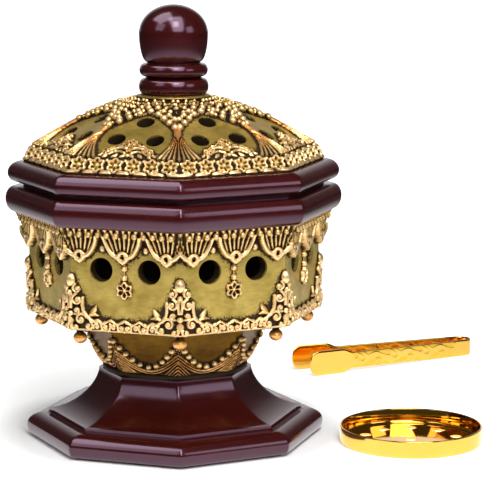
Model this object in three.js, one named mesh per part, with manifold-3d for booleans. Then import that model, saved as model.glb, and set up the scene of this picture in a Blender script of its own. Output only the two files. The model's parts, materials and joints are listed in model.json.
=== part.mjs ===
// A lidded octagonal incense burner, with the pierced charcoal tray and the tongs that go with it.
// Millimetres, +Z up. The origin is on the burner's axis at table level, and one corner of the
// octagon points toward -Y. A radius named "flat" is from the axis to the middle of a flat side.
import * as THREE from "three";
import { mergeVertices } from "three/addons/utils/BufferGeometryUtils.js";
import Module from "manifold-3d";

const wasm = await Module();
wasm.setup();

// Sizes shared by several pieces
const sides = 8;
const seat = 0.3; // clearance where an ornament or a turned piece lies on its ground
const overrun = 3; // how far a cutter runs past what it cuts
const weld = 1e-4; // points closer than this are one point

// Driving dimensions, bottom to top
const felt = { flat: 62, thick: 1.2 };
const plinth = {
  height: 32.4,
  footFlat: 65.1,
  noseFlat: 66.5, // the widest line of the rounded foot
  noseRise: 4.6,
  shoulderFlat: 59,
  shoulderRise: 10.3,
  filletFlat: 56.8,
  filletRise: 2.2,
  neckFlat: 34.1,
  hollowPower: 1.7, // how square the concave slope is
  wall: 7,
  crownWall: 6, // material left above the hollow
};
const tie = {
  shankRadius: 2,
  headRadius: 4.2,
  headThick: 2.6,
  bite: 7.5,
  washerRadius: 6.5,
  washerThick: 1,
};
const cup = {
  height: 27.9,
  footRadius: 35,
  footThick: 2.4,
  neckFlat: 31,
  topFlat: 42,
  bellPower: 0.66,
  recessDepth: 7.5, // from the drum's underside down to the ledge that the tray sits on
  wellRadius: 27,
  floorThick: 9,
};
const drum = {
  height: 48.2,
  flat: 64.2,
  wall: 7,
  floorThick: 4,
  ventRadius: 5.65,
  ventSpread: 11.7,
  ventDrop: 19.4,
};
const bowlRim = { height: 12.5, noseFlat: 74.4, edgeFlat: 70.3, noseRise: 6.5 };
const lidRim = {
  height: 9.8,
  reveal: 2, // the shadow gap between the two rims
  noseFlat: 73.3,
  lowerFlat: 69.8,
  upperFlat: 67.1,
  noseRise: 4.1,
  landFlat: 66.5, // the lid's own bearing face, inside the shadow gap
  spigotDrop: 4.2,
  spigotWall: 4,
  spigotPlay: 0.75,
};
const dome = {
  height: 29.6,
  footFlat: 66.1,
  shoulderFlat: 61.9,
  shoulderRise: 7,
  crownFlat: 14.3,
  vaultPower: 1.35,
  wall: 5,
  ventRadius: 4.3,
  upperVentFlat: 37,
  lowerVentFlat: 49.5,
  lowerVentSpread: 9.4,
};
const collar = { height: 1.7, radius: 17.4, throat: 14.2 };
const knob = {
  lowerRingRadius: 16.5,
  lowerRingHeight: 7.5,
  grooveRadius: 13.7,
  grooveHeight: 0.9,
  upperRingRadius: 16.2,
  upperRingHeight: 6.3,
  neckRadius: 12.6,
  neckHeight: 0.6,
  ballRadius: 16.3,
  ballRise: 13.6, // from the neck up to the widest line of the ball
  ballCap: 13.4, // from there to the top
};
const knobScrew = {
  shankRadius: 2,
  headRadius: 4.2,
  headThick: 2.6,
  bite: 14,
  washerRadius: 6.5,
  washerThick: 1,
};

// Driving dimensions of the ornament
const valance = {
  drop: 16.3, // from the rim's underside to the lowest scallop point
  bandDrop: 4.9,
  lipFlat: 70.1,
  bodyFlat: 67.8,
  hemFlat: 66.6,
  pitch: 21.2, // scallop to scallop
  halfWidth: 9.6,
  eyeRise: 3.4,
  eyeRadius: 1.3,
  eyeRim: 1.3,
};
const mount = {
  height: 26.6,
  relief: 1.9,
  spireHalf: 5.4,
  leafHalf: 11.2,
  borderHeight: 4,
  borderGap: 0.3, // half the joint between neighbours
  voluteRadius: 1.25,
};
const drop = {
  beadRadius: 1.45,
  beadPitch: 4.4,
  cordRadius: 0.55,
  flowerRadius: 4,
  flowerThick: 1.8,
  petals: 6,
};
const ball = { radius: 3.2, halfHeight: 2.8, neckRadius: 1.5, cornerInset: 5.5, drop: 4.2 };
const garland = {
  relief: 1.3,
  low: 4.2, // lowest point of the swag above the foot ring
  high: 18, // highest point, at the corners
  swagPower: 1.65,
};
const cage = {
  relief: 1.7,
  topFlat: 18,
  archFlat: 31, // where the arch over each window is highest
  stemFlat: 46,
  stemHalf: 2.1,
  fanHalf: 11,
};
const spray = { relief: 2, peakFlat: 50.2, footInset: 0.8, halfWidth: 12.6 };
const band = { relief: 1.6, heel: 0.6 };

// Driving dimensions of the loose tray and tongs, and where they stand
const tray = {
  radius: 34,
  height: 8.2,
  wall: 0.9,
  floorThick: 1,
  holes: 10, // round and square by turns
  holeRing: 22.8,
  holeRadius: 2.8,
  squareSide: 5.2,
  middleHoleRadius: 3,
  holeTurn: 10, // degrees
  place: [111.9, -24.3],
};
const tongs = {
  arm: 106, // from the bow's centre to the blade's tip
  strip: 9,
  thick: 1,
  bowRadius: 5.6,
  splay: 2.4, // degrees, each arm
  bladeHeight: 13.3,
  bladeLength: 21,
  flareLength: 7,
  bladeCorner: 5.2,
  split: 0.3,
  heading: 26, // degrees, from tips to bow
  place: [168, 172.5],
};

// Levels that follow from the heights
const plinthFoot = felt.thick;
const cupFoot = plinthFoot + plinth.height;
const cupWaist = cupFoot + cup.footThick;
const drumFoot = cupFoot + cup.height;
const rimFoot = drumFoot + drum.height;
const lidSeat = rimFoot + bowlRim.height;
const lidFoot = lidSeat + lidRim.reveal;
const domeFoot = lidFoot + lidRim.height;
const domeShoulder = domeFoot + dome.shoulderRise;
const collarFoot = domeFoot + dome.height;
const knobFoot = collarFoot + collar.height;
const crownUnderside = collarFoot - dome.wall; // where the knob's screw and washer bear

const halfTurn = Math.PI / sides; // from a corner to the middle of a flat side
const cornerStretch = 1 / Math.cos(halfTurn); // corner distance over flat distance
const degrees = Math.PI / 180;

// Finishes
function finish(color, roughness, metalness) {
  return new THREE.MeshStandardMaterial({ color, roughness, metalness });
}
const finishes = {
  mahogany: () => finish(0x4b1715, 0.28, 0),
  goldGround: () => finish(0xa8953f, 0.42, 0.7),
  goldRelief: () => finish(0xd9a866, 0.38, 0.75),
  polishedGold: () => finish(0xe8b530, 0.12, 1),
  darkFelt: () => finish(0x2a2320, 0.95, 0),
  steel: () => finish(0xb4b4b0, 0.35, 1),
};

// Turns a closed surface into a solid: welds it, drops the slivers at the axis and faces it outward
function solidOf(geometry) {
  const bare = geometry.clone();
  bare.deleteAttribute("normal");
  bare.deleteAttribute("uv");
  const welded = mergeVertices(bare, weld);
  const points = welded.attributes.position.array;
  const corners = welded.index.array;
  const triangles = [];
  let volume = 0;
  const a = new THREE.Vector3();
  const b = new THREE.Vector3();
  const c = new THREE.Vector3();
  for (let i = 0; i < corners.length; i += 3) {
    const [p, q, r] = [corners[i], corners[i + 1], corners[i + 2]];
    if (p === q || q === r || r === p) continue;
    triangles.push(p, q, r);
    c.fromArray(points, 3 * r);
    volume += a.fromArray(points, 3 * p).dot(b.fromArray(points, 3 * q).cross(c));
  }
  if (volume < 0) triangles.reverse();
  const vertProperties = Float32Array.from(points);
  const surface = { numProp: 3, vertProperties, triVerts: Uint32Array.from(triangles) };
  return new wasm.Manifold(new wasm.Mesh(surface));
}

function geometryOf(solid) {
  const { vertProperties, triVerts } = solid.getMesh();
  const geometry = new THREE.BufferGeometry();
  geometry.setAttribute("position", new THREE.BufferAttribute(Float32Array.from(vertProperties), 3));
  geometry.setIndex(new THREE.BufferAttribute(Uint32Array.from(triVerts), 1));
  return geometry;
}

function joined(solids) {
  return solids.reduce((whole, next) => whole.add(next));
}

// A copy of a solid on every side of the octagon, joined into one
function aroundAxis(solid) {
  const copyAt = (_, k) => solidOf(geometryOf(solid).rotateZ(2 * k * halfTurn));
  return joined(Array.from({ length: sides }, copyAt));
}

function revolved(profile, segments, stretch) {
  const points = profile.map(([radius, z]) => new THREE.Vector2(radius * stretch, z));
  return solidOf(new THREE.LatheGeometry(points, segments).rotateX(Math.PI / 2));
}
const octagonal = (profile) => revolved(profile, sides, cornerStretch); // radii to the flats
const octagonalRing = (profile) => octagonal([...profile, profile[0]]);
const turned = (profile, segments = 48) => revolved(profile, segments, 1);
const turnedRing = (profile, segments = 48) => turned([...profile, profile[0]], segments);
const rod = (radius, low, high, segments = 24) =>
  turned([[0, low], [radius, low], [radius, high], [0, high]], segments);
const octagonalRod = (flat, low, high) => octagonal([[0, low], [flat, low], [flat, high], [0, high]]);

// Frames: sideways, up and outward at a bearing; or outward, sideways and up for cuts from above
function wallFrame(bearing, out = 0, z = 0) {
  const outward = new THREE.Vector3(Math.cos(bearing), Math.sin(bearing), 0);
  const sideways = new THREE.Vector3(-Math.sin(bearing), Math.cos(bearing), 0);
  const up = new THREE.Vector3(0, 0, 1);
  const frame = new THREE.Matrix4().makeBasis(sideways, up, outward);
  return frame.setPosition(outward.x * out, outward.y * out, z);
}
function planFrame(bearing) {
  return new THREE.Matrix4().makeRotationZ(bearing);
}
const frontCorner = -Math.PI / 2;
const frontSide = frontCorner + halfTurn;

function prism(shape, near, far, frame) {
  const geometry = new THREE.ExtrudeGeometry(shape, { depth: far - near, bevelEnabled: false });
  return solidOf(geometry.translate(0, 0, near).applyMatrix4(frame));
}

function outline(points) {
  return new THREE.Shape(points.map(([x, y]) => new THREE.Vector2(x, y)));
}
// A shape with mirrored halves: the half is listed from one end of the middle line to the other
function mirrored(half) {
  const other = half.filter(([x]) => x > 0).reverse();
  return outline([...half, ...other.map(([x, y]) => [-x, y])]);
}
// The same, mirrored across its own x axis
function mirroredAcross(half) {
  const other = half.filter(([, y]) => y > 0).reverse();
  return outline([...half, ...other.map(([x, y]) => [x, -y])]);
}
function blossom(radius, petals, steps = 2) {
  const points = [];
  for (let i = 0; i < petals * steps; i++) {
    const turn = (2 * Math.PI * i) / (petals * steps);
    const reach = radius * (0.84 + 0.16 * Math.cos(petals * turn));
    points.push([reach * Math.sin(turn), reach * Math.cos(turn)]);
  }
  return outline(points);
}
function disc(radius, x = 0, y = 0, corners = 6) {
  return outline(
    Array.from({ length: corners }, (_, i) => {
      const turn = (2 * Math.PI * i) / corners;
      return [x + radius * Math.cos(turn), y + radius * Math.sin(turn)];
    }),
  );
}

// The rounded nose of a rim: a half ellipse cut by its lower and upper edges
function nose(lowerFlat, noseFlat, upperFlat, low, mid, high, steps = 6) {
  const points = [];
  for (let i = 0; i <= steps; i++) {
    const turn = -Math.PI / 2 + (Math.PI * i) / steps;
    const edge = turn < 0 ? lowerFlat : upperFlat;
    const rise = turn < 0 ? mid - low : high - mid;
    points.push([edge + (noseFlat - edge) * Math.cos(turn), mid + rise * Math.sin(turn)]);
  }
  return points;
}

// A profile moved outward by a distance, square to itself
function offset(profile, distance) {
  return profile.map(([x, y], i) => {
    const [x0, y0] = profile[Math.max(i - 1, 0)];
    const [x1, y1] = profile[Math.min(i + 1, profile.length - 1)];
    const length = Math.hypot(x1 - x0, y1 - y0);
    return [x + (distance * (y1 - y0)) / length, y - (distance * (x1 - x0)) / length];
  });
}
// The space between two offsets of a profile, all round the octagon
function skin(profile, inner, outer) {
  return octagonalRing([...offset(profile, outer), ...offset(profile, inner).reverse()]);
}

const burner = new THREE.Group();
function addPiece(name, solid, material, turn = 0, parent = burner) {
  const mesh = new THREE.Mesh(geometryOf(solid), material());
  mesh.name = name;
  mesh.rotation.z = turn;
  parent.add(mesh);
  return mesh;
}
function addToEverySide(name, solid, material) {
  for (let k = 0; k < sides; k++) addPiece(`${name}_${k + 1}`, solid, material, 2 * k * halfTurn);
}

// Plinth: a rounded foot, a fillet and a concave slope up to the neck, hollow from below
function plinthBody() {
  const shoulder = plinthFoot + plinth.shoulderRise;
  const fillet = shoulder + plinth.filletRise;
  const slopeReach = plinth.filletFlat - plinth.neckFlat;
  const slopeRise = cupFoot - fillet;
  const slopeSteps = 12;
  const noseSteps = 6;
  const slope = Array.from({ length: slopeSteps + 1 }, (_, i) => {
    const turn = (Math.PI / 2) * (1 - i / slopeSteps);
    const across = Math.cos(turn) ** (2 / plinth.hollowPower);
    const down = Math.sin(turn) ** (2 / plinth.hollowPower);
    return [plinth.filletFlat - slopeReach * across, cupFoot - slopeRise * down];
  });
  const foot = Array.from({ length: noseSteps + 1 }, (_, i) => {
    const turn = (Math.PI / 2) * (i / noseSteps);
    const reach = plinth.noseFlat - plinth.shoulderFlat;
    const rise = plinth.shoulderRise - plinth.noseRise;
    return [
      plinth.shoulderFlat + reach * Math.cos(turn),
      plinthFoot + plinth.noseRise + rise * Math.sin(turn),
    ];
  });
  const footEdge = [[0, plinthFoot], [plinth.footFlat, plinthFoot]];
  const outside = octagonal([...footEdge, ...foot, ...slope, [0, cupFoot]]);
  const ceiling = cupFoot - plinth.crownWall;
  const inside = slope
    .map(([flat, z]) => [flat - plinth.wall, z - plinth.wall])
    .filter(([flat, z]) => z > fillet && z < ceiling);
  const mouth = plinth.shoulderFlat - plinth.wall;
  const hollow = octagonal([
    [0, plinthFoot - overrun],
    [mouth, plinthFoot - overrun],
    [mouth, shoulder - plinth.wall / 2],
    ...inside,
    [plinth.neckFlat - plinth.wall, ceiling],
    [0, ceiling],
  ]);
  const hole = rod(tie.shankRadius + seat, ceiling - overrun, cupFoot + overrun);
  return outside.subtract(hollow).subtract(hole);
}

// Screws and washers: one holds the cup to the plinth, one the knob to the lid
const tieSeat = cupFoot - plinth.crownWall;
function panScrew(screw, headTop, tip) {
  const under = headTop - screw.headThick;
  return turned(
    [
      [0, under],
      [screw.headRadius * 0.7, under],
      [screw.headRadius, under + screw.headThick / 2],
      [screw.headRadius, headTop],
      [screw.shankRadius, headTop],
      [screw.shankRadius, tip - screw.shankRadius],
      [0, tip],
    ],
    12,
  );
}
function washer(screw, top) {
  const low = top - screw.washerThick;
  const bore = screw.shankRadius + seat;
  return turnedRing([[bore, low], [screw.washerRadius, low], [screw.washerRadius, top], [bore, top]], 16);
}

// Cup: a round foot ring, an octagonal bell and a round seat and ash well for the tray
function cupWall() {
  const steps = 9;
  return Array.from({ length: steps + 1 }, (_, i) => {
    const climb = (i / steps) ** 1.5;
    const flat = cup.neckFlat + (cup.topFlat - cup.neckFlat) * climb ** cup.bellPower;
    return [flat, cupWaist + (drumFoot - cupWaist) * climb];
  });
}
function cupFlatAt(z) {
  const climb = (z - cupWaist) / (drumFoot - cupWaist);
  return cup.neckFlat + (cup.topFlat - cup.neckFlat) * climb ** cup.bellPower;
}
function cupBody() {
  const bell = octagonal([[0, cupFoot], [cup.neckFlat, cupFoot], ...cupWall(), [0, drumFoot]]);
  const foot = turned([
    [0, cupFoot],
    [cup.footRadius, cupFoot],
    [cup.footRadius, cupWaist - cup.footThick / 3],
    [cup.footRadius - cup.footThick / 3, cupWaist],
    [0, cupWaist],
  ]);
  const ledge = drumFoot - cup.recessDepth;
  const seatRadius = tray.radius + 2 * seat;
  const hollow = turned([
    [0, cupFoot + cup.floorThick],
    [cup.wellRadius - cup.floorThick / 2, cupFoot + cup.floorThick],
    [cup.wellRadius, cupFoot + cup.floorThick * 1.5],
    [cup.wellRadius, ledge],
    [seatRadius, ledge],
    [seatRadius, drumFoot + overrun],
    [0, drumFoot + overrun],
  ], 36);
  const pilot = rod(tie.shankRadius + seat, cupFoot - overrun, cupFoot + tie.bite + seat);
  return bell.add(foot).subtract(hollow).subtract(pilot);
}

// Drum: eight flat walls with two vents each, on a floor that opens over the cup
function drumBody() {
  const floor = drumFoot + drum.floorThick;
  const inside = drum.flat - drum.wall;
  const shell = octagonalRod(drum.flat, drumFoot, rimFoot)
    .subtract(octagonalRod(inside, floor, rimFoot + overrun))
    .subtract(rod(tray.radius + 2 * seat, drumFoot - overrun, floor + overrun, 48));
  const vents = [];
  for (const side of [-1, 1]) {
    const vent = new THREE.CylinderGeometry(drum.ventRadius, drum.ventRadius, drum.wall + 2 * overrun, 12);
    vent.rotateX(Math.PI / 2).translate(side * drum.ventSpread, 0, 0);
    const place = wallFrame(frontSide, drum.flat - drum.wall / 2, rimFoot - drum.ventDrop);
    vents.push(solidOf(vent.applyMatrix4(place)));
  }
  return shell.subtract(aroundAxis(joined(vents)));
}

// Bowl rim: a rounded moulding that closes the drum's top and carries the lid
function bowlRimBody() {
  const inside = drum.flat - drum.wall;
  const mid = rimFoot + bowlRim.noseRise;
  const edge = nose(bowlRim.edgeFlat, bowlRim.noseFlat, bowlRim.edgeFlat, rimFoot, mid, lidSeat);
  return octagonalRing([[inside, rimFoot], ...edge, [inside, lidSeat]]);
}

// Lid rim: a rounded moulding with a land that rests on the bowl and a spigot that drops inside it
const spigotFlat = drum.flat - drum.wall - lidRim.spigotPlay;
function lidRimBody() {
  const inside = spigotFlat - lidRim.spigotWall;
  const mid = lidFoot + lidRim.noseRise;
  const edge = nose(lidRim.lowerFlat, lidRim.noseFlat, lidRim.upperFlat, lidFoot, mid, domeFoot);
  return octagonalRing([
    [inside, lidSeat - lidRim.spigotDrop],
    [spigotFlat, lidSeat - lidRim.spigotDrop],
    [spigotFlat, lidSeat],
    [lidRim.landFlat, lidSeat],
    [lidRim.landFlat, lidFoot],
    ...edge,
    [inside, domeFoot],
  ]);
}

// Dome: a slanting skirt and eight vaulted panels, each with three vents
function vault(from, to, steps) {
  return Array.from({ length: steps + 1 }, (_, i) => {
    const flat = from + ((to - from) * i) / steps;
    return [flat, vaultHeight(flat)];
  });
}
function vaultHeight(flat) {
  const share = (flat - dome.crownFlat) / (dome.shoulderFlat - dome.crownFlat);
  return domeShoulder + (collarFoot - domeShoulder) * (1 - Math.max(share, 0) ** dome.vaultPower);
}
function vaultTilt(flat) {
  const share = (flat - dome.crownFlat) / (dome.shoulderFlat - dome.crownFlat);
  const fall = (collarFoot - domeShoulder) / (dome.shoulderFlat - dome.crownFlat);
  return Math.atan(fall * dome.vaultPower * share ** (dome.vaultPower - 1));
}
function domeBody() {
  const outside = [[dome.footFlat, domeFoot], ...vault(dome.shoulderFlat, dome.crownFlat, 6)];
  const inside = offset(outside, -dome.wall).filter(([, z]) => z < crownUnderside);
  const hollow = octagonal([
    [0, domeFoot - overrun],
    [dome.footFlat - dome.wall, domeFoot - overrun],
    ...inside.slice(1),
    [dome.crownFlat - dome.wall / 2, crownUnderside],
    [0, crownUnderside],
  ]);
  const shell = octagonal([[0, domeFoot], ...outside, [0, collarFoot]]).subtract(hollow);
  const vents = [
    [0, dome.upperVentFlat],
    [-dome.lowerVentSpread, dome.lowerVentFlat],
    [dome.lowerVentSpread, dome.lowerVentFlat],
  ].map(([across, flat]) => {
    const vent = new THREE.CylinderGeometry(dome.ventRadius, dome.ventRadius, 2 * (dome.wall + overrun), 8);
    vent.rotateX(Math.PI / 2).rotateX(vaultTilt(flat) - Math.PI / 2).translate(across, 0, 0);
    return solidOf(vent.applyMatrix4(wallFrame(frontSide, flat, vaultHeight(flat))));
  });
  const pilot = rod(knobScrew.shankRadius + seat, domeFoot, collarFoot + overrun);
  return shell.subtract(aroundAxis(joined(vents))).subtract(pilot);
}

// Collar and knob: turned pieces, held on the dome by a screw from inside
function collarBody() {
  const bore = knobScrew.shankRadius + seat;
  const top = collarFoot + collar.height;
  return turnedRing(
    [
      [bore, collarFoot],
      [collar.throat, collarFoot],
      [collar.radius, collarFoot + collar.height / 3],
      [collar.radius, collarFoot + (2 * collar.height) / 3],
      [collar.throat, top],
      [bore, top],
    ],
    24,
  );
}
function knobBody() {
  const profile = [[0, knobFoot]];
  let z = knobFoot;
  function ring(radius, inner, height) {
    const steps = 4;
    for (let i = 0; i <= steps; i++) {
      const turn = -Math.PI / 2 + (Math.PI * i) / steps;
      const climb = (1 + Math.sin(turn)) / 2;
      profile.push([inner + (radius - inner) * Math.cos(turn) ** 0.7, z + height * climb]);
    }
    z += height;
  }
  ring(knob.lowerRingRadius, knob.grooveRadius, knob.lowerRingHeight);
  z += knob.grooveHeight;
  ring(knob.upperRingRadius, knob.neckRadius, knob.upperRingHeight);
  z += knob.neckHeight;
  const steps = 10;
  for (let i = 0; i <= steps; i++) {
    const turn = -Math.PI / 2 + (Math.PI * i) / steps;
    const inner = turn < 0 ? knob.neckRadius : 0;
    const rise = turn < 0 ? knob.ballRise : knob.ballCap;
    const centre = z + knob.ballRise;
    profile.push([inner + (knob.ballRadius - inner) * Math.cos(turn), centre + rise * Math.sin(turn)]);
  }
  profile[profile.length - 1][0] = 0;
  const pilotTop = knobFoot + knobScrew.bite + seat;
  return turned(profile, 24).subtract(rod(knobScrew.shankRadius + seat, knobFoot - overrun, pilotTop));
}

// Valance: a flared band of scallops under the rim, with an eye near the point of each
function valanceBody() {
  const top = rimFoot - seat;
  const bandFoot = rimFoot - valance.bandDrop;
  const low = rimFoot - valance.drop;
  const ground = drum.flat + seat;
  const halfSide = valance.bodyFlat * Math.tan(halfTurn);
  const eyeZ = low + valance.eyeRise;
  const lobe = valance.eyeRadius + valance.eyeRim;
  const half = [
    [valance.halfWidth, bandFoot],
    [valance.halfWidth * 0.88, eyeZ + 0.6 * (bandFoot - eyeZ)],
    [valance.halfWidth * 0.52, eyeZ + 0.22 * (bandFoot - eyeZ)],
    [lobe, eyeZ - lobe * 0.3],
  ];
  const mitreZ = eyeZ + 0.3 * (bandFoot - eyeZ);
  const edge = [];
  for (const middle of [-valance.pitch, 0, valance.pitch]) {
    const falling = half.map(([u, z]) => [middle - u, z]);
    const rising = half.map(([u, z]) => [middle + u, z]).reverse();
    edge.push(...falling, [middle, low], ...rising);
  }
  const below = outline([
    [-halfSide, low - overrun],
    [-halfSide, mitreZ],
    ...edge.filter(([x]) => Math.abs(x) < halfSide),
    [halfSide, mitreZ],
    [halfSide, low - overrun],
  ]);
  const frame = wallFrame(frontSide);
  const cut = (shape) => prism(shape, ground - overrun, valance.lipFlat + overrun, frame);
  const eyes = [-valance.pitch, 0, valance.pitch].map((x) => cut(disc(valance.eyeRadius, x, eyeZ)));
  const ring = octagonalRing([
    [ground, low],
    [valance.hemFlat, low],
    [valance.bodyFlat, bandFoot],
    [valance.lipFlat, top],
    [ground, top],
  ]);
  return ring.subtract(aroundAxis(cut(below))).subtract(aroundAxis(joined(eyes)));
}

// Corner mount: a scrolled spire with two leaves, standing on a border that runs to mid side
function mountBody() {
  const low = drumFoot + seat;
  const halfWidth = drum.flat * Math.tan(halfTurn) * Math.cos(halfTurn) - mount.borderGap;
  const h = mount.height;
  const s = mount.spireHalf;
  const b = mount.borderHeight;
  const halfShape = [
    [0, low + h],
    [s * 0.5, low + h * 0.93],
    [s * 0.95, low + h * 0.8],
    [s * 1.05, low + h * 0.66],
    [s * 0.8, low + h * 0.52],
    [s * 0.9, low + h * 0.4],
    [mount.leafHalf * 0.72, low + h * 0.36],
    [mount.leafHalf, low + h * 0.48],
    [mount.leafHalf * 1.02, low + h * 0.34],
    [mount.leafHalf * 0.86, low + b * 1.35],
    [mount.leafHalf * 1.35, low + b],
    [halfWidth * 0.72, low + b * 1.15],
    [halfWidth * 0.86, low + b * 0.8],
    [halfWidth, low + b * 0.9],
    [halfWidth, low],
    [0, low],
  ];
  const volutes = [
    [s * 0.5, 0.74],
    [mount.leafHalf * 0.62, 0.15],
  ];
  const frame = wallFrame(frontCorner);
  const cut = (shape) => prism(shape, drum.flat / 2, drum.flat * cornerStretch + overrun, frame);
  const eyes = volutes.flatMap(([x, share]) =>
    [-1, 1].map((side) => cut(disc(mount.voluteRadius, side * x, low + share * h, 6))),
  );
  const wrap = octagonalRing([
    [drum.flat + seat, drumFoot],
    [drum.flat + seat + mount.relief, drumFoot],
    [drum.flat + seat + mount.relief, rimFoot],
    [drum.flat + seat, rimFoot],
  ]);
  return wrap.intersect(cut(mirrored(halfShape))).subtract(joined(eyes));
}

// Rosette drop: two beads and a six-petalled blossom on a short cord, at the middle of each side
function dropBody() {
  const ground = drum.flat + seat;
  const top = rimFoot - valance.drop - seat;
  const firstBead = top - drop.beadRadius * 1.2;
  const flowerZ = firstBead - drop.beadPitch - drop.beadRadius - drop.flowerRadius;
  const frame = wallFrame(frontSide, ground);
  const cord = outline([
    [-drop.cordRadius, flowerZ],
    [drop.cordRadius, flowerZ],
    [drop.cordRadius, top],
    [-drop.cordRadius, top],
  ]);
  const solids = [prism(cord, 0, 2 * drop.cordRadius, frame)];
  for (const z of [firstBead, firstBead - drop.beadPitch]) {
    const round = new THREE.OctahedronGeometry(drop.beadRadius, 0).translate(0, z, drop.beadRadius);
    solids.push(solidOf(round.applyMatrix4(frame)));
  }
  const middle = wallFrame(frontSide, ground, flowerZ);
  solids.push(prism(blossom(drop.flowerRadius, drop.petals), 0, drop.flowerThick, middle));
  return joined(solids);
}

// Ball drop: a squat ball on a short neck under each corner of the drum
function ballBody() {
  const middle = drumFoot - ball.drop;
  const neckTop = drumFoot - seat;
  const profile = [[0, middle - ball.halfHeight]];
  for (let i = 1; i <= 4; i++) {
    const turn = -Math.PI / 2 + (Math.PI * i) / 5;
    profile.push([ball.radius * Math.cos(turn), middle + ball.halfHeight * Math.sin(turn)]);
  }
  profile.push([ball.neckRadius, neckTop], [0, neckTop]);
  const points = profile.map(([radius, z]) => new THREE.Vector2(radius, z));
  const round = new THREE.LatheGeometry(points, 8).rotateX(Math.PI / 2);
  return solidOf(round.translate(0, -(drum.flat * cornerStretch - ball.cornerInset), 0));
}

// Garland: drapery on the cup below a string of beads that swags across each side
function swagHeight(across, halfSide) {
  const share = Math.min(Math.abs(across) / halfSide, 1);
  return cupWaist + garland.low + (garland.high - garland.low) * share ** garland.swagPower;
}
function garlandBody() {
  const foot = cupWaist + seat;
  const top = cupWaist + garland.high;
  const wall = Array.from({ length: 5 }, (_, i) => {
    const z = foot + ((top - foot) * i) / 4;
    return [cupFlatAt(z), z];
  });
  const drapery = octagonalRing([
    ...wall.map(([flat, z]) => [flat + seat + garland.relief, z]),
    ...wall.map(([flat, z]) => [flat + seat, z]).reverse(),
  ]);
  const halfSide = (cupFlatAt(top) + seat + garland.relief) * Math.tan(halfTurn);
  const window = [];
  const steps = 8;
  for (let i = 0; i <= steps; i++) {
    const across = halfSide * (2 * (i / steps) - 1) * 1.02;
    window.push([across, swagHeight(across, halfSide)]);
  }
  window.push([halfSide * 1.02, top + overrun], [-halfSide * 1.02, top + overrun]);
  const pane = prism(outline(window), cup.neckFlat / 2, cup.topFlat * 2, wallFrame(frontSide));
  const opening = aroundAxis(pane);
  return drapery.subtract(opening);
}

// Lid openwork: fan-footed ribs on the corners, joined by an arch over each panel
const cageFootFlat = dome.shoulderFlat - seat;
function cageBody() {
  const layer = skin(vault(cageFootFlat, cage.topFlat, 6), seat, seat + cage.relief);
  const halfAt = (flat) => flat * Math.tan(halfTurn);
  const archEdge = [
    [cage.archFlat, 0],
    [cage.archFlat + (cage.stemFlat - cage.archFlat) * 0.1, 0.34],
    [cage.archFlat + (cage.stemFlat - cage.archFlat) * 0.3, 0.62],
    [cage.archFlat + (cage.stemFlat - cage.archFlat) * 0.65, 0.84],
  ].map(([flat, share]) => [flat, share * halfAt(flat)]);
  const fanTop = cage.stemFlat + (cageFootFlat - cage.stemFlat) * 0.35;
  const fanShoulder = cage.stemFlat + (cageFootFlat - cage.stemFlat) * 0.65;
  const half = [
    ...archEdge,
    [cage.stemFlat, halfAt(cage.stemFlat) - cage.stemHalf],
    [fanTop, halfAt(fanTop) - cage.stemHalf * 1.3],
    [fanShoulder, halfAt(fanShoulder) - cage.fanHalf * 0.42],
    [cageFootFlat, halfAt(cageFootFlat) - cage.fanHalf],
    [cageFootFlat + 2 * overrun, halfAt(cageFootFlat) - cage.fanHalf],
  ];
  const opening = prism(mirroredAcross(half), domeFoot, knobFoot, planFrame(frontSide));
  return layer.subtract(aroundAxis(opening));
}

// Spray: a mound of blossom at the foot of each panel
function sprayBody() {
  const layer = skin(vault(cageFootFlat - spray.footInset, cage.stemFlat, 3), seat, seat + spray.relief);
  const foot = cageFootFlat - spray.footInset;
  const run = foot - spray.peakFlat;
  const half = [
    [spray.peakFlat, 0],
    [spray.peakFlat + run * 0.12, spray.halfWidth * 0.2],
    [spray.peakFlat + run * 0.34, spray.halfWidth * 0.3],
    [spray.peakFlat + run * 0.46, spray.halfWidth * 0.58],
    [spray.peakFlat + run * 0.66, spray.halfWidth * 0.74],
    [spray.peakFlat + run * 0.8, spray.halfWidth],
    [foot + overrun, spray.halfWidth],
  ];
  return layer.intersect(prism(mirroredAcross(half), domeFoot, knobFoot, planFrame(frontSide)));
}

// Blossom band: a slanting band round the lid's skirt
function bandBody() {
  const low = [dome.footFlat, domeFoot];
  const high = [dome.shoulderFlat, domeShoulder];
  const slant = Math.hypot(low[0] - high[0], high[1] - low[1]);
  const along = (share) => [low[0] + (high[0] - low[0]) * share, low[1] + (high[1] - low[1]) * share];
  const skirt = [along(band.heel / slant), along(1)];
  return skin(skirt, seat, seat + band.relief);
}

// Tray: a thin pressed dish, its floor pierced by round and square holes by turns
function trayBody() {
  const inner = tray.radius - tray.wall;
  const dish = turned([
    [0, 0],
    [tray.radius - tray.wall, 0],
    [tray.radius, tray.wall],
    [tray.radius, tray.height],
    [inner, tray.height],
    [inner, tray.floorThick + tray.wall],
    [inner - tray.wall, tray.floorThick],
    [0, tray.floorThick],
  ], 40);
  const holes = [rod(tray.middleHoleRadius, -overrun, tray.floorThick + overrun, 16)];
  for (let i = 0; i < tray.holes; i++) {
    const turn = tray.holeTurn * degrees + (2 * Math.PI * i) / tray.holes;
    const hole = i % 2
      ? new THREE.BoxGeometry(tray.squareSide, tray.squareSide, tray.floorThick + 2 * overrun)
      : new THREE.CylinderGeometry(tray.holeRadius, tray.holeRadius, tray.floorThick + 2 * overrun, 12)
        .rotateX(Math.PI / 2);
    holes.push(solidOf(hole.translate(tray.holeRing, 0, 0).rotateZ(turn)));
  }
  return dish.subtract(joined(holes));
}

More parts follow.
